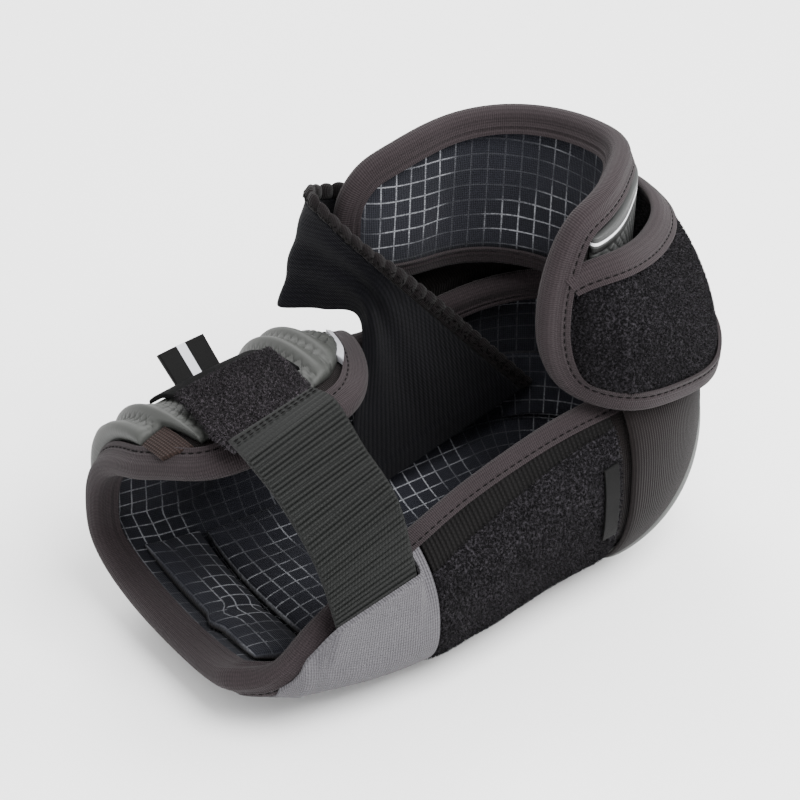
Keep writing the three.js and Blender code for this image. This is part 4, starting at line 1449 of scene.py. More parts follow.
@dataclass
class ArmTrough(Assembly):
    """Padded trough round the forearm and the elbow, with its binding and inner cushions."""

    stitching: Stitching
    stations: int = 281
    columns: int = 64
    crown: float = 7.0  # height of the cushions before they are stuffed
    degree: float = 0.95  # length of one degree of the wall's section
    crease: float = 1.8  # depth of the far side's crease
    creased: float = 74.0  # section angle of that crease
    crease_end: tuple[float, float] = (70.0, 110.0)  # places along the arm over which it ends
    folds: float = 0.5  # depth of the small folds
    folds_at: tuple[float, float] = (60.0, 30.0)  # section angle of their middle, and their reach
    folds_end: tuple[float, float] = (100.0, 150.0)
    rim_stations: int = 260
    wrist_stations: int = 90
    wrist_inset: float = 0.06  # from the wall's end to the stations of the wrist's tape
    cushion_cells: int = 36

    def build(self) -> list[Piece]:
        """Makes the pad, the binding with its stitches and three cushions."""
        cushions = [
            self.cushion("wrist_cushion", TROUGH.arm, ends=(17, 43), edges=(-30, 52)),
            self.cushion("forearm_cushion", TROUGH.arm, ends=(46, 104), edges=(-44, 50)),
            self.cushion("elbow_cushion", TROUGH.elbow, ends=(-70, 70), edges=(50, 84)),
        ]
        return [self.pad(), *self.binding(), *cushions]

    def pad(self) -> Piece:
        """The trough's padded wall, creased on the inside where the cloth folds."""
        place = np.linspace(0, TROUGH.last, self.stations)[:, None]
        share = np.linspace(0, 1, self.columns)[None, :]
        angle = TROUGH.rim(place) * share
        x = TROUGH.straight("x", place)
        far = np.where(place < TROUGH.last / 2, 1.0, 0.0)
        wavy = self.creased + 6 * np.sin(x / 9)
        crease = self.crease * bump(angle, wavy, 5) * far * (1 - ease(x, *self.crease_end))
        folds = self.folds * np.sin(x / 4.2 + angle / 11) * bump(angle, *self.folds_at)
        folds = folds * (1 - ease(x, *self.folds_end))
        press = pressed(np.minimum((TROUGH.rim(place) - angle) * self.degree, x - WRIST_X))
        outer = TROUGH.wall(place, angle, -press)
        inner = TROUGH.wall(place, angle, -PAD + crease + folds + press)
        item = Skin("arm_pad", outer, inner, seamless=True, plain=False).build()
        return Piece(item, LINER, Slot.LINER, ("arm_pad",), fill=0.8)

    def binding(self) -> list[Piece]:
        """The tape round the trough's whole edge."""
        place = np.linspace(0, TROUGH.last, self.rim_stations)
        rim = Edge(TROUGH.wall, place, TROUGH.rim(place), 0 * place - PAD, 0 * place, place, 0 * place)
        ends = -TROUGH.rim(TROUGH.last), TROUGH.rim(0)
        angle = np.linspace(*ends, self.wrist_stations + 2)[1:-1]
        x = np.full(self.wrist_stations, WRIST_X + self.wrist_inset)
        wrist = Edge(TROUGH.arm, x, angle, 0 * x - PAD, 0 * x, x + 5, angle)
        return self.stitching.bind("arm_binding", "arm_stitches", [rim, wrist], looped=True)

    def cushion(
        self, name: str, face: Surface, ends: tuple[float, float], edges: tuple[float, float]
    ) -> Piece:
        """A stuffed cushion of the liner.

        Args:
            name: Name of the object and of the node that it replaces.
            face: Surface that it lies on.
            ends: First coordinates of its two ends.
            edges: Second coordinates of its two edges.

        Returns:
            The finished piece.
        """
        shares = np.linspace(0, 1, self.cushion_cells)
        along, across = np.meshgrid(shares, shares, indexing="ij")
        u, v = lerp(*ends, along), lerp(*edges, across)
        arch = [np.sin(np.pi * lerp(0.04, 0.96, share)) ** 0.36 for share in (along, across)]
        base = -PAD - TAPE_SEAT
        top = face(u, v, base - self.crown * arch[0] * arch[1])
        item = Skin(name, top, face(u, v, base + 0 * u)).build()
        Cushion().swell(item)
        return Piece(item, CUSHION, Slot.LINER, (name,), fill=0.9)


@dataclass
class SideCovers(Assembly):
    """Covers of the trough's near side and bottom: pale knit, loop pile, mesh and a bare tag."""

    start: float = 17.0
    joint: float = 81.5  # where the knit ends and the loop pile and the mesh begin
    gap: float = 0.5  # half the gap at that joint
    end: float = 174.0
    knit_far: float = 24.0  # section angle of the knit's far edge
    knit_margin: float = 7.0  # degrees from the trough's rim to the knit
    pleat: float = 1.3
    pleat_at: tuple[float, float] = (32.5, 1.3)  # place along the arm and width of the pleat
    hem: float = 0.9
    hem_at: tuple[float, float] = (0.96, 0.05)  # share of the flap's height, and width of its hem
    bend: float = -86.0  # section angle where the knit leaves the wall for its flap
    bend_margin: float = 12.0  # and the least degrees from there to the rim
    flap_ends: tuple[float, ...] = (28.0, 34.0, 71.0, 78.0)  # where the flap parts from the wall and rejoins
    flap_start: float = 33.5  # place along the arm where the brim has its first height
    flap_length: float = 37.0
    flap_height: float = 56.5
    flap_rise: float = 8.0  # of the brim over the flap's length
    flap_side: float = -69.4
    pile_far: float = 28.0  # section angle of the loop pile's far edge
    overlap: float = 2.0  # degrees that the loop pile reaches over the mesh
    ground: float = 1.5  # no tufts this near the ground
    seam_margins: tuple[float, float] = (24.0, 14.0)  # degrees from the rim to the mesh's lower edge
    mesh_margin: float = 6.0  # and to its upper edge
    mesh_wall: float = 1.2
    tag_ends: tuple[float, float] = (164.0, 171.0)
    tag_edges: tuple[float, float] = (-104.0, -76.0)
    tag_wall: float = 0.9

    def build(self) -> list[Piece]:
        """Makes the covers."""
        return [self.knit(), *self.loop(), self.mesh(), self.tag()]

    def knit(self) -> Piece:
        """The pale knit, which stands up as a flap in front of the webbing's end."""
        x = lerp(self.start, self.joint - self.gap, soft_shares(90))[:, None]
        bend = np.maximum(self.bend, self.bend_margin - TROUGH.near_rim(x))
        angle = lerp(self.knit_far, bend, np.linspace(0, 1, 70)[None, :])
        rise = np.linspace(0, 1, 41)[None, 1:]
        slot = (ease(x, *self.flap_ends[:2]) * (1 - ease(x, *self.flap_ends[2:])))[..., None]
        edge = lerp(bend, self.knit_margin - TROUGH.near_rim(x), rise)
        pleat = self.pleat * bump(x, *self.pleat_at) * ease(rise, 0, 0.3)
        hem = self.hem * bump(rise, *self.hem_at)
        height = self.flap_height + (x - self.flap_start) / self.flap_length * self.flap_rise
        faces = []
        for distance in (SEAT + COVER, SEAT):
            lower = TROUGH.arm(x, angle, distance)
            side = self.flap_side + SEAT + COVER - distance
            flap = lerp(lower[:, -1:], np.stack([x, side + 0 * x, height], -1), rise[..., None])
            flap[..., 1] += (pleat - hem) * (distance > SEAT)
            faces.append(np.concatenate([lower, lerp(TROUGH.arm(x, edge, distance), flap, slot)], 1))
        faces[0][..., 2] = np.maximum(faces[0][..., 2], REST)
        skin = Skin("knit_panel", faces[0], faces[1])
        return Piece(skin.build(), KNIT, Slot.KNIT, ("knit_panel",), cloth=Cloth(skin))

    def seam(self, x: Array) -> Array:
        """Section angle of the seam between the mesh and the loop pile."""
        share = (x - self.joint) / (self.end - self.joint)
        return lerp(*self.seam_margins, share) - TROUGH.near_rim(x)

    def pile_edge(self, x: Array) -> Array:
        """Section angle of the loop pile's edge, a little over the mesh."""
        return self.seam(x) - self.overlap

    def mesh_edge(self, x: Array) -> Array:
        """Section angle of the mesh's edge beside the binding."""
        return self.mesh_margin - TROUGH.near_rim(x)

    def loop(self) -> list[Piece]:
        """The loop pile below the mesh."""
        ends = self.joint + self.gap, self.end
        edges = self.pile_edge, self.pile_far
        skin = Patch("loop_panel", TROUGH.arm, *ends, *edges, SEAT, COVER, rests=True).skin()
        skin.relief = np.where(skin.outer[..., 2] > REST + self.ground, 1.0, 0.0)
        return Tufting(LOOP_PILE, density=1.6).panel(skin, Cloth(skin))

    def mesh(self) -> Piece:
        """The coarse mesh between the binding and the loop pile."""
        ends = self.joint + self.gap, self.end
        skin = Patch("mesh_strip", TROUGH.arm, *ends, self.mesh_edge, self.seam, SEAT, self.mesh_wall).skin()
        return Piece(skin.build(), MESH, Slot.MESH, ("mesh_strip",), cloth=Cloth(skin))

    def tag(self) -> Piece:
        """The bare tag at the elbow's end."""
        base = 2 * SEAT + COVER
        patch = Patch("side_tag", TROUGH.arm, *self.tag_ends, *self.tag_edges, base, self.tag_wall, 10, 30)
        return Piece(patch.skin().build(), TAG, Slot.TAG, ("side_tag",))


@dataclass
class ForearmGuard(Assembly):
    """Moulded guard on the far side of the forearm, with its mesh panel and pale strip."""

    start: float = 10.5
    end: float = 102.0
    low: float = 40.0  # section angle of the guard's lower edge
    full: float = 182.0  # and of its upper edge, where the binding leaves room
    mesh_end: float = 21.0
    mesh_low: float = 158.0
    rise_ends: tuple[float, float] = (20.0, 26.0)  # where the upper edge rises beside the mesh panel
    strip_ends: tuple[float, float] = (93.0, 106.0)
    strip_edges: tuple[float, float] = (-1.6, 2.4)  # degrees from the binding
    ridges: tuple[float, ...] = (13.0, 22.5, 81.0, 90.0)
    ridge_width: float = 3.6
    ridge_height: float = 5.5
    ahead: float = 3.5  # the upper edge keeps clear of the binding this much further along
    tape: float = 6.0  # degrees that the binding covers
    gap: float = 0.6  # degrees between the guard and the binding
    swell: float = 3.0  # added fullness towards the elbow
    swell_ends: tuple[float, float] = (76.0, 86.0)
    knurl: float = 2.4  # size of the knurled field's diamonds
    knurl_depth: float = 0.4
    radius: float = 62.0  # of the wall's section, for even diamonds

    def build(self) -> list[Piece]:
        """Makes the guard, the mesh panel and the strip."""
        ends = self.start, self.end
        guard = Patch(
            "forearm_guard", TROUGH.arm, *ends, self.low, self.high, SEAT, GUARD_WALL, 190, 190,
            extra=self.raised, relief=self.pattern,
        )
        ends, edges = (self.start, self.mesh_end), (self.mesh_low + 1, self.bound)
        mesh = Patch("guard_mesh", TROUGH.arm, *ends, *edges, SEAT, COVER, 30, 30).skin()
        ends, edges = self.strip_ends, self.strip_edges
        strip = Patch("light_strip", self.beside, *ends, *edges, SEAT, GUARD_WALL, 40, 12)
        return [
            Piece(guard.skin().build(), RUBBER, Slot.RUBBER, ("forearm_guard",)),
            Piece(mesh.build(), RUST_MESH, Slot.WOVEN, ("guard_mesh",), cloth=Cloth(mesh)),
            Piece(strip.skin().build(), PIPING, Slot.STRIP, ("light_strip",)),
        ]

    def bound(self, x: Array) -> Array:
        """Section angle where the binding of the trough's edge begins."""
        return TROUGH.far_rim(x + self.ahead) - self.tape

    def beside(self, x: Array, angle: Array, distance: Array) -> Array:
        """Points beside the binding, by degrees from its edge."""
        return TROUGH.arm(x, self.bound(x) + angle, distance)

    def high(self, x: Array) -> Array:
        """Section angle of the guard's upper edge, lower beside the mesh panel."""
        free = lerp(self.mesh_low, self.full, ease(x, *self.rise_ends))
        return np.minimum(free, self.bound(x) - self.gap)

    def ridge(self, x: Array) -> Array:
        """Share of a ridge's full height at places along the arm."""
        return np.minimum(sum(bump(x, middle, self.ridge_width) for middle in self.ridges), 1)

    def raised(self, x: Array, angle: Array, along: Array, across: Array) -> Array:
        """Height of the ridges and of the knurled field between them."""
        fade = np.sin(np.pi * lerp(0.1, 0.97, across)) ** 0.6
        rise = self.ridge_height * self.ridge(x) + self.swell * ease(x, *self.swell_ends)
        return rise * fade + self.knurl_depth * (self.pattern(x, angle, along, across) - 1)

    def pattern(self, x: Array, angle: Array, along: Array, across: Array) -> Array:
        """Height of the knurled field's diamonds, 1 on the smooth parts."""
        rows = np.radians(angle) * self.radius / self.knurl
        gap = diamond_gap(x / self.knurl, rows)
        knurled = (1 - ease(self.ridge(x), 0.35, 0.95)) * ease(across, 0.3, 0.4)
        return 1 - knurled * (1 - ease(gap, 0.1, 0.45))


@dataclass
class ForearmStrap(Assembly):
    """Webbing strap of the forearm, with the hook tab, plush patch and pull tab of its end."""

    stitching: Stitching
    left: float = 32.0
    right: float = 75.0
    slant: float = -0.18  # how far the patch slants along the arm, for each degree
    edges: tuple[float, float] = (144.0, 180.0)
    short: float = 12.0  # degrees that the plush starts later, so that the hook tab shows
    tongue: float = 12.0  # degrees that the plush runs on, under the webbing's end
    tucked: float = 0.5  # row of the webbing where the plush ends
    clear: float = 1.5  # bare margin of the plush beside the webbing
    base: float = 2 * SEAT + GUARD_WALL  # height of the hook tab's underside over the trough
    top: float = 3 * SEAT + GUARD_WALL + COVER + PLUSH  # height of the plush's face over the trough
    hook_edges: tuple[float, float] = (126.0, 170.0)
    pull_ends: tuple[float, float] = (47.0, 68.0)
    pull_angle: float = 123.0
    pull_reach: float = 17.0
    pull_wall: float = 1.6  # thickness of the pull tab, in degrees
    rows: int = 420
    columns: int = 110
    rib: float = 1.9  # pitch of the webbing's ribs
    rib_height: float = 0.75
    sunk: float = 0.35  # depth of the webbing's face between its ribs
    nub: float = 1.5  # pitch of the nubs along a rib
    seam_rows: tuple[float, float] = (0.22, 0.36)  # rows of the webbing where it is stitched

    def build(self) -> list[Piece]:
        """Makes the strap's pieces."""
        return [self.hook(), *self.patch(), self.pull(), *self.webbing()]

    def hook(self) -> Piece:
        """The hook tab that lies on the guard."""
        ends = self.left, self.right
        skin = Patch(
            "hook_tab", TROUGH.arm, *ends, *self.hook_edges, self.base, COVER, 80, 80, relief=self.hooks
        ).skin()
        return Piece(skin.build(), HOOK, Slot.WEBBING, ("hook_tab",))

    @staticmethod
    def hooks(x: Array, angle: Array, along: Array, across: Array) -> Array:
        """Rows of hooks, as relief."""
        return 0.5 + 0.5 * np.sin(x * 3.2) * np.sin(angle * 3.0)

    def slanted(self, x: Array, angle: Array, distance: Array) -> Array:
        """Points of the patch's slanted stretch, and of its tongue under the webbing."""
        low = np.minimum(angle, self.edges[1])
        laid = TROUGH.arm(x + self.slant * (low - self.edges[0]), low, distance)
        share = (x - self.left) / (self.right - self.left)
        under = STRAP.wall(self.tucked + 0 * x, share, distance - self.top - CLOTH / 2 - SEAT / 2)
        return lerp(laid, under, ((angle - low) / self.tongue)[..., None])

    def patch(self) -> list[Piece]:
        """The plush patch over the hook tab, without tufts under the webbing's end."""
        ends = self.left, self.right
        edges = self.edges[0] + self.short, self.edges[1] + self.tongue
        skin = Patch("strap_patch", self.slanted, *ends, *edges, self.top - PLUSH, PLUSH).skin()
        corners = STRAP.wall(0.0, np.array((0.0, 1.0)), 0.0)
        covered = np.interp(skin.outer[..., 0], corners[:, 0], corners[:, 1]) + self.clear
        skin.relief = np.where(skin.outer[..., 1] > covered, 1.0, 0.0)
        return Tufting(PATCH_PILE, density=3.0).panel(skin, Cloth(skin, ("hook_tab",), Hold.LAID))

    def upright(self, x: Array, reach: Array, distance: Array) -> Array:
        """Points of a sheet that stands off the arm, by its reach from the arm."""
        return TROUGH.arm(x, self.pull_angle + distance, reach)

    def pull(self) -> Piece:
        """The pull tab that stands off the strap's end."""
        edges = self.base, self.base + self.pull_reach
        half = self.pull_wall / 2
        skin = Patch("pull_tab", self.upright, *self.pull_ends, *edges, -half, self.pull_wall, 30, 24).skin()
        return Piece(skin.build(), PULL, Slot.TAG, ("pull_tab",))

    def webbing(self) -> list[Piece]:
        """The webbing, with its ribs and its stitched ends."""
        place, share = np.meshgrid(STRAP.even(self.rows), np.linspace(0, 1, self.columns), indexing="ij")
        middle = STRAP.middle(place, share)
        length = arc(middle, 0).mean(1)[:, None] / MM
        width = arc(middle, 1) / MM
        row = np.floor(length / self.rib)
        rib = np.abs(np.sin(np.pi * length / self.rib))
        nub = np.abs(np.sin(np.pi * (width / self.nub + 0.5 * row)))
        ends = ease(length, 8, 11) * (1 - ease(length, length.max() - 7, length.max() - 4))
        edges = np.minimum(rounded(share, 0.04), 1)
        relief = rib * (0.55 + 0.45 * nub) * lerp(0.5, 1.0, ends) * edges
        outer = STRAP.wall(place, share, CLOTH / 2 - self.sunk + self.rib_height * relief)
        skin = Skin("forearm_webbing", outer, STRAP.wall(place, share, -CLOTH / 2), relief=relief)
        seams = []
        for k, at in enumerate(self.seam_rows):
            line = STRAP.wall(at, np.linspace(0.05, 0.95, 40), CLOTH / 2 + 0.2)
            seams.append(self.stitching.sew(line, f"webbing_seam_{k}", Slot.WEBBING))
        piece = Piece(skin.build(), WEB, Slot.WEBBING, ("forearm_webbing",), cloth=Cloth(skin))
        piece.trim = [seam.item for seam in seams]
        return [piece, *seams]


@dataclass
class ElbowEnd(Assembly):
    """Moulded cap, woven cover and elastic sling of the elbow."""

    stitching: Stitching
    cap_turn: float = 86.0  # plan angle of the cap's two ends
    cap_floor: float = 12.0  # section angle of its lower edge
    cap_edges: tuple[float, float] = (38.0, 98.0)  # and of its upper edge, at the sides and behind
    groove_at: tuple[float, float] = (0.78, 0.03)  # share across the cap and width of its groove
    groove_depth: float = 0.8
    seat: float = TAPE_SEAT + TAPE + 2.0  # room under the cover's upper part, for the tape
    cover_ends: tuple[float, float] = (-90.0, 108.0)
    cover_margins: tuple[float, float] = (4.0, 3.0)  # degrees from the cap and from the trough's rim
    cover_top: float = 113.0  # height on the sleeve that the cover reaches
    onward: float = 30.0  # degrees past the far side for each row of the trough's table
    scallop: float = 6.5  # length of one lobe of the edging
    fold: float = 0.7  # depth of the sling's folds
    hem: float = 0.6  # added thickness of the sling's lower hem
    hem_rows: tuple[float, float] = (0.36, 0.3)  # rows before the sling's end where the hem rises
    edging_middle: float = 3.6  # from the sling's edge to the edging's middle
    edging_half: float = 3.4  # half the edging's width
    edging_puff: float = 1.1  # its fullness over the sling's face
    stitch_line: float = 3.0  # from the sling's edge to the middle of the edging's stitches
    stitch_lift: float = 1.2  # their height over the sling's face
    zigzag: tuple[float, float] = (1.6, 1.5)  # their half width and half period

    def build(self) -> list[Piece]:
        """Makes the elbow's pieces."""
        return [self.cap(), self.cover(), *self.sling()]

    def cap_edge(self, turn: Array) -> Array:
        """Section angle of the cap's upper edge."""
        return lerp(*self.cap_edges, np.maximum(np.cos(np.radians(turn)), 0))

    def groove(self, turn: Array, angle: Array, along: Array, across: Array) -> Array:
        """Height that the groove below the cap's edge adds, which is below zero."""
        return -self.groove_depth * bump(across, *self.groove_at)

    def smoothness(self, turn: Array, angle: Array, along: Array, across: Array) -> Array:
        """Relief of the cap, 0 in its groove."""
        return 1 - bump(across, *self.groove_at)

    def cap(self) -> Piece:
        """The moulded cap."""
        ends, edges = (-self.cap_turn, self.cap_turn), (self.cap_floor, self.cap_edge)
        skin = Patch(
            "elbow_cap", TROUGH.elbow, *ends, *edges, SEAT, CAP_WALL, 90, 60, rests=True,
            extra=self.groove, relief=self.smoothness,
        ).skin()
        return Piece(skin.build(), CAP_RUBBER, Slot.RUBBER, ("elbow_cap",))

    def cover_face(self, turn: Array, share: Array, distance: Array) -> Array:
        """Points of the woven cover: share 0 to 1 lies on the trough, 1 to 2 bridges over to the sleeve."""
        turn, share, distance = np.broadcast_arrays(turn, share, distance)
        place = TROUGH.elbow_place(turn) - np.maximum(turn - 90, 0) / self.onward
        lower = np.minimum(share, 1)
        from_cap, from_rim = self.cover_margins
        angle = lerp(self.cap_edge(turn) + from_cap, TROUGH.rim(place) - from_rim, lower)
        low = TROUGH.wall(place, angle, distance + self.seat * lerp(0.2, 1, lower**3))
        top = SLEEVE.wall(turn, self.cover_top, SLEEVE_PAD + self.seat + distance)
        return lerp(low, top, np.maximum(share - 1, 0)[..., None])

    def cover(self) -> Piece:
        """The woven cover between the trough and the sleeve."""
        skin = Patch("elbow_cover", self.cover_face, *self.cover_ends, 0, 2, SEAT, COVER, 120, 70).skin()
        cloth = Cloth(skin, ("arm_pad", "sleeve_pad"))
        return Piece(skin.build(), WOVEN, Slot.WOVEN, ("elbow_cover",), cloth=cloth)

    def sling(self) -> list[Piece]:
        """The elastic sling with its gathered edging."""
        shares = np.linspace(0, SLING.last, 220), soft_shares(50)
        place, share = np.meshgrid(*shares, indexing="ij")
        held = np.sin(np.pi * share) * np.sin(np.pi * place / SLING.last)
        pull = self.fold * held * (np.sin(share * 15 + place * 0.7) + 0.8 * np.sin(share * 6 - place * 1.3))
        hem = self.hem * ease(place, *(SLING.last - row for row in self.hem_rows))
        thick = CLOTH / 2 * rounded(share, 0.02) + hem
        faces = [SLING.wall(place, share, pull + side * thick) for side in (1, -1)]
        skin = Skin("elbow_sling", *faces)
        edging, line = self.edging()
        seam = self.stitching.sew(line, "sling_stitches", Slot.TAPE)
        cloth = Cloth(skin, ("arm_pad", "sleeve_pad"))
        piece = Piece(skin.build(), TWILL, Slot.ELASTIC, ("elbow_sling",), cloth=cloth)
        piece.trim = [edging.item, seam.item]
        return [piece, edging, seam]

    def edging(self) -> tuple[Piece, Array]:
        """The scalloped edging along the sling's upper edge, and the line of its stitches."""
        place = np.linspace(0, SLING.last, 520)
        edge = SLING.wall(place, 1.0, 0.0)
        side = unit(edge - SLING.wall(place, 0.9, 0.0))
        up = unit(SLING.wall(place, 1.0, 1.0) - edge)
        length = np.concatenate([[0], np.cumsum(np.linalg.norm(np.diff(edge, axis=0), axis=1))])
        lobe = np.abs(np.sin(np.pi * length / self.scallop))[:, None] ** 0.7
        across = np.linspace(-1, 1, 13)[None, :]
        reach = self.edging_middle + across * self.edging_half * lerp(0.8, 1.1, np.where(across > 0, lobe, 1))
        height = (CLOTH / 2 + self.edging_puff) * lerp(0.5, 1.1, lobe) * np.sqrt(1 - (0.96 * across) ** 2)
        middle = edge[:, None] + side[:, None] * reach[..., None]
        faces = [middle + up[:, None] * way * height[..., None] for way in (1, -1)]
        item = Skin("sling_edging", *faces).build()
        wide, half = self.zigzag
        swing = np.abs(length / half % 2 - 1)[:, None] * 2 - 1
        line = edge + side * (self.stitch_line + wide * swing) + up * (CLOTH / 2 + self.stitch_lift)
        return Piece(item, EDGE_KNIT, Slot.TAPE, ("sling_edging",)), line


@dataclass
class UpperSleeve(Assembly):
    """Upper-arm sleeve with its guard, plush strap and bindings."""

    stitching: Stitching
    first: float = SLEEVE_ROWS[0].turn
    last: float = SLEEVE_ROWS[-1].turn
    strap_end: float = WRAP_ROWS[-1].turn
    rim_hold: tuple[float, float] = (-99.0, -94.0)  # plan angles where the rim's tape takes in the strap
    hem_hold: tuple[float, float] = (-103.0, -97.0)  # and where the strap's tape takes in the sleeve
    middle: float = 135.0  # a height between the sleeve's edges
    degree: float = 0.8  # length of one degree of the wall's plan
    fullness: float = 0.6  # how far the wall's inner face swells
    ripple: float = 0.25  # height of the small waves on it
    tuck: float = 1.0  # how far the strap is pressed flat under its tapes
    tape_reach: tuple[float, float] = (4.5, 7.0)  # from the strap's edge to where the pile starts and is full
    guard_ends: tuple[float, float] = (-86.0, 62.0)
    guard_low: float = 132.0
    guard_margin: float = 8.2  # from the sleeve's rim down to the guard
    knurl: float = 2.4  # size of the guard's diamonds
    knurl_depth: float = 0.6
    knurl_top: tuple[float, float] = (157.5, 158.5)  # heights over which the knurled field ends
    radius: float = 52.0  # of the sleeve, for even diamonds
    hem_ends: tuple[float, float] = (-88.0, 132.0)  # plan angles of the lower tape's ends
    tape_start: float = -101.0  # plan angle where the tape of the strap's upper edge starts

    def build(self) -> list[Piece]:
        """Makes the sleeve's pieces."""
        return [self.pad(), self.guard(), *self.strap(), *self.binding(), *self.hem(), *self.strap_tape()]

    def pad(self) -> Piece:
        """The sleeve's padded wall."""
        spans = np.linspace(self.first, self.last, 150), np.linspace(0, 1, 50)
        turn, share = np.meshgrid(*spans, indexing="ij")
        height = lerp(SLEEVE.low(turn), SLEEVE.top(turn), share)
        arch = np.sin(np.pi * share)
        swell = self.fullness * arch + self.ripple * np.sin(turn / 5 + height / 9) * arch
        ends = np.minimum(turn - self.first, self.last - turn) * self.degree
        edges = np.minimum(SLEEVE.top(turn) - height, height - SLEEVE.low(turn))
        press = pressed(np.minimum(ends, edges))
        faces = [SLEEVE.wall(turn, height, far) for far in (SLEEVE_PAD - press, press - swell)]
        item = Skin("sleeve_pad", *faces).build()
        return Piece(item, LINER, Slot.LINER, ("sleeve_pad",), fill=0.8)

    def guard(self) -> Piece:
        """The moulded guard, knurled along its lower part."""
        edges = self.guard_low, self.guard_top
        skin = Patch(
            "sleeve_guard", SLEEVE.wall, *self.guard_ends, *edges, SLEEVE_PAD + SEAT, GUARD_WALL, 190, 80,
            extra=self.grooves, relief=self.diamonds,
        ).skin()
        return Piece(skin.build(), UPPER_RUBBER, Slot.RUBBER, ("sleeve_guard",))

    def guard_top(self, turn: Array) -> Array:
        """Height of the guard's upper edge."""
        return SLEEVE.top(turn) - self.guard_margin

    def grooves(self, turn: Array, height: Array, along: Array, across: Array) -> Array:
        """Height that the grooves between the diamonds add, which is below zero."""
        return self.knurl_depth * (self.diamonds(turn, height, along, across) - 1)

    def diamonds(self, turn: Array, height: Array, along: Array, across: Array) -> Array:
        """Height of the diamonds below the guard's line, 1 on the smooth part."""
        gap = diamond_gap(np.radians(turn) * self.radius / self.knurl, height / self.knurl)
        return 1 - (1 - ease(height, *self.knurl_top)) * (1 - ease(gap, 0.1, 0.5))

    def strap(self) -> list[Piece]:
        """The plush strap round the sleeve."""
        ends = self.first, self.strap_end
        skin = Patch(
            "sleeve_strap", WRAP.wall, *ends, WRAP.low, WRAP.top, 0, PLUSH, 110, 50,
            extra=self.flattened, relief=self.bare,
        ).skin()
        return Tufting(LOOP_PILE, density=1.8).panel(skin, Cloth(skin, ("sleeve_pad",)))

    def bare(self, turn: Array, height: Array, along: Array, across: Array) -> Array:
        """Share of the strap's pile that shows: 0 under its tapes, 1 away from them."""
        edges = np.minimum(height - WRAP.low(turn), WRAP.top(turn) - height)
        return ease(np.minimum(edges, (turn - self.first) * self.degree), *self.tape_reach)

    def flattened(self, turn: Array, height: Array, along: Array, across: Array) -> Array:
        """Height that the tapes' pressure adds to the strap, which is below zero."""
        return self.tuck * (self.bare(turn, height, along, across) - 1)

    def binding(self) -> list[Piece]:
        """The tape of the far end, the rim, the front edge and the strap's lower edge, in one run."""
        edges = [*self.rim_edges(), self.front_edge(), self.hem_edge()]
        return self.stitching.bind("sleeve_binding", "sleeve_stitches", edges)

    def rim_edges(self) -> list[Edge]:
        """The sleeve's far end and its rim."""
        height = np.linspace(SLEEVE.low(self.last), SLEEVE.top(self.last), 16)[:-1]
        turn = np.full(15, self.last)
        far = Edge(SLEEVE.wall, turn, height, 0 * turn, 0 * turn + SLEEVE_PAD, 0.0, self.middle)
        turn = np.linspace(self.last, self.first, 150)
        height = SLEEVE.top(turn)
        hold = 1 - ease(turn, *self.rim_hold)
        outer = lerp(SLEEVE_PAD, WRAP.out(turn, height) + PLUSH, hold)
        return [far, Edge(SLEEVE.wall, turn, height, 0 * turn, outer, 0.0, self.middle)]

    def front_edge(self) -> Edge:
        """The front edge, where sleeve and strap are held together."""
        height = np.linspace(SLEEVE.top(self.first), WRAP.low(self.first), 16)[1:-1]
        turn = np.full(14, self.first)
        outer = WRAP.out(turn, height) + PLUSH
        return Edge(SLEEVE.wall, turn, height, 0 * turn, outer, 0.0, self.middle)

    def hem_edge(self) -> Edge:
        """The strap's lower edge."""
        turn = np.linspace(self.first, self.strap_end, 150)
        height = WRAP.low(turn)
        inner = -WRAP.out(turn, height) * (1 - ease(turn, *self.hem_hold))
        return Edge(WRAP.wall, turn, height, inner, 0 * turn + PLUSH, 0.0, self.middle)

    def hem(self) -> list[Piece]:
        """The tape of the sleeve's lower edge."""
        turn = np.linspace(*self.hem_ends, 150)
        sides = 0 * turn, 0 * turn + SLEEVE_PAD
        edge = Edge(SLEEVE.wall, turn, SLEEVE.low(turn), *sides, turn, SLEEVE.top(turn))
        return self.stitching.bind("sleeve_hem", "hem_stitches", [edge])

    def strap_tape(self) -> list[Piece]:
        """The tape of the strap's upper edge."""
        turn = np.linspace(self.tape_start, self.strap_end, 136)
        edge = Edge(WRAP.wall, turn, WRAP.top(turn), 0 * turn, 0 * turn + PLUSH, turn, WRAP.low(turn))
        return self.stitching.bind("strap_binding", "strap_stitches", [edge])


class Lamp(NamedTuple):
    """Square soft light: its name, its place and side in metres, and its power in watts."""

    name: str
    place: tuple[float, float, float]
    side: float
    power: float


LAMPS = (
    Lamp("key", (0.1, -0.7, 1.3), 0.9, 40.0),
    Lamp("fill", (0.9, -0.5, 0.8), 0.8, 14.0),
    Lamp("rim", (0.3, 1.0, 1.0), 0.8, 16.0),
)


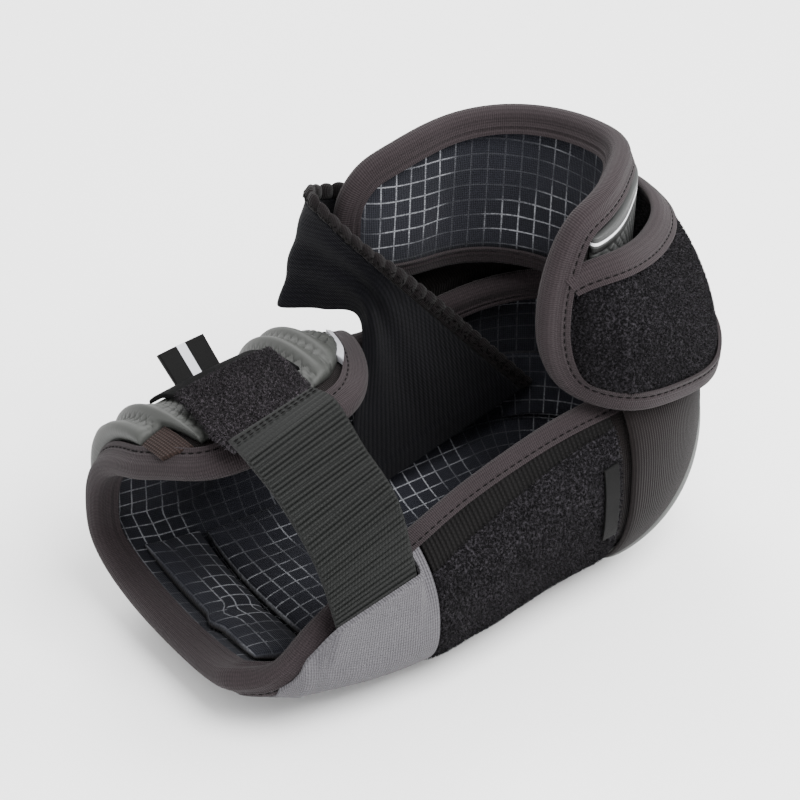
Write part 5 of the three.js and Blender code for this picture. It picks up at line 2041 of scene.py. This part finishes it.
@dataclass
class Studio:
    """Plain pale floor, soft light and the photograph's camera."""

    target: tuple[float, float, float] = (125.0, 0.0, 80.0)  # in the tables' own coordinates
    back: tuple[float, float, float] = (-0.4815, -0.6627, 0.5736)  # direction from the pad to the camera
    away: float = 1200.0
    lens: float = 135.0
    sensor: float = 36.0
    shift: tuple[float, float] = (-0.0375, 0.0125)
    sky: float = 1.6  # strength of the light from all round
    reach: float = 6.0  # half the floor's side, in metres
    floor_color: Rgb = (0.95, 0.95, 0.95)
    lit: tuple[float, float, float] = (0.0, 0.0, 0.08)  # point that the lamps face, in metres

    def build(self) -> None:
        """Sets the floor, the lights and the camera."""
        self.floor()
        self.world()
        for lamp in LAMPS:
            self.light(lamp)
        self.camera()

    def floor(self) -> None:
        """A wide pale floor."""
        mesh = bpy.data.meshes.new("floor")
        size = self.reach
        corners = [(-size, -size, 0), (size, -size, 0), (size, size, 0), (-size, size, 0)]
        mesh.from_pydata(corners, [], [(0, 1, 2, 3)])
        mesh.materials.append(Finish("pale_floor", self.floor_color, 0.9).material())
        link(mesh, "floor")

    def world(self) -> None:
        """Even pale light from all round."""
        world = bpy.data.worlds.new("studio")
        bpy.context.scene.world = world
        world.use_nodes = True
        sky = world.node_tree.nodes["Background"]
        sky.inputs["Color"].default_value = (1.0, 1.0, 1.0, 1.0)
        sky.inputs["Strength"].default_value = self.sky

    def light(self, lamp: Lamp) -> None:
        """A square soft light that points at the pad."""
        light = bpy.data.lights.new(lamp.name, "AREA")
        light.size = lamp.side
        light.energy = lamp.power
        item = bpy.data.objects.new(lamp.name, light)
        item.location = lamp.place
        item.rotation_euler = (Vector(self.lit) - Vector(lamp.place)).to_track_quat("-Z", "Y").to_euler()
        bpy.context.scene.collection.objects.link(item)

    def camera(self) -> None:
        """The photograph's view."""
        lens = bpy.data.cameras.new("photo")
        lens.lens = self.lens
        lens.sensor_width = self.sensor
        lens.shift_x, lens.shift_y = self.shift
        item = bpy.data.objects.new("photo", lens)
        back = Vector(self.back).normalized()
        item.location = (Vector(self.target) - Vector(MIDDLE) + back * self.away) * MM
        item.rotation_euler = (-back).to_track_quat("-Z", "Y").to_euler()
        bpy.context.scene.collection.objects.link(item)
        bpy.context.scene.camera = item


def main() -> None:
    """Builds the pad and its studio."""
    logging.basicConfig(level=logging.INFO, format="%(name)s: %(message)s")
    stitching = Stitching()
    assemblies: list[Assembly] = [
        ArmTrough(stitching),
        SideCovers(),
        ForearmGuard(),
        ForearmStrap(stitching),
        ElbowEnd(stitching),
        UpperSleeve(stitching),
    ]
    for assembly in assemblies:
        assembly.dress()
    Studio().build()


if __name__ == "__main__":
    main()
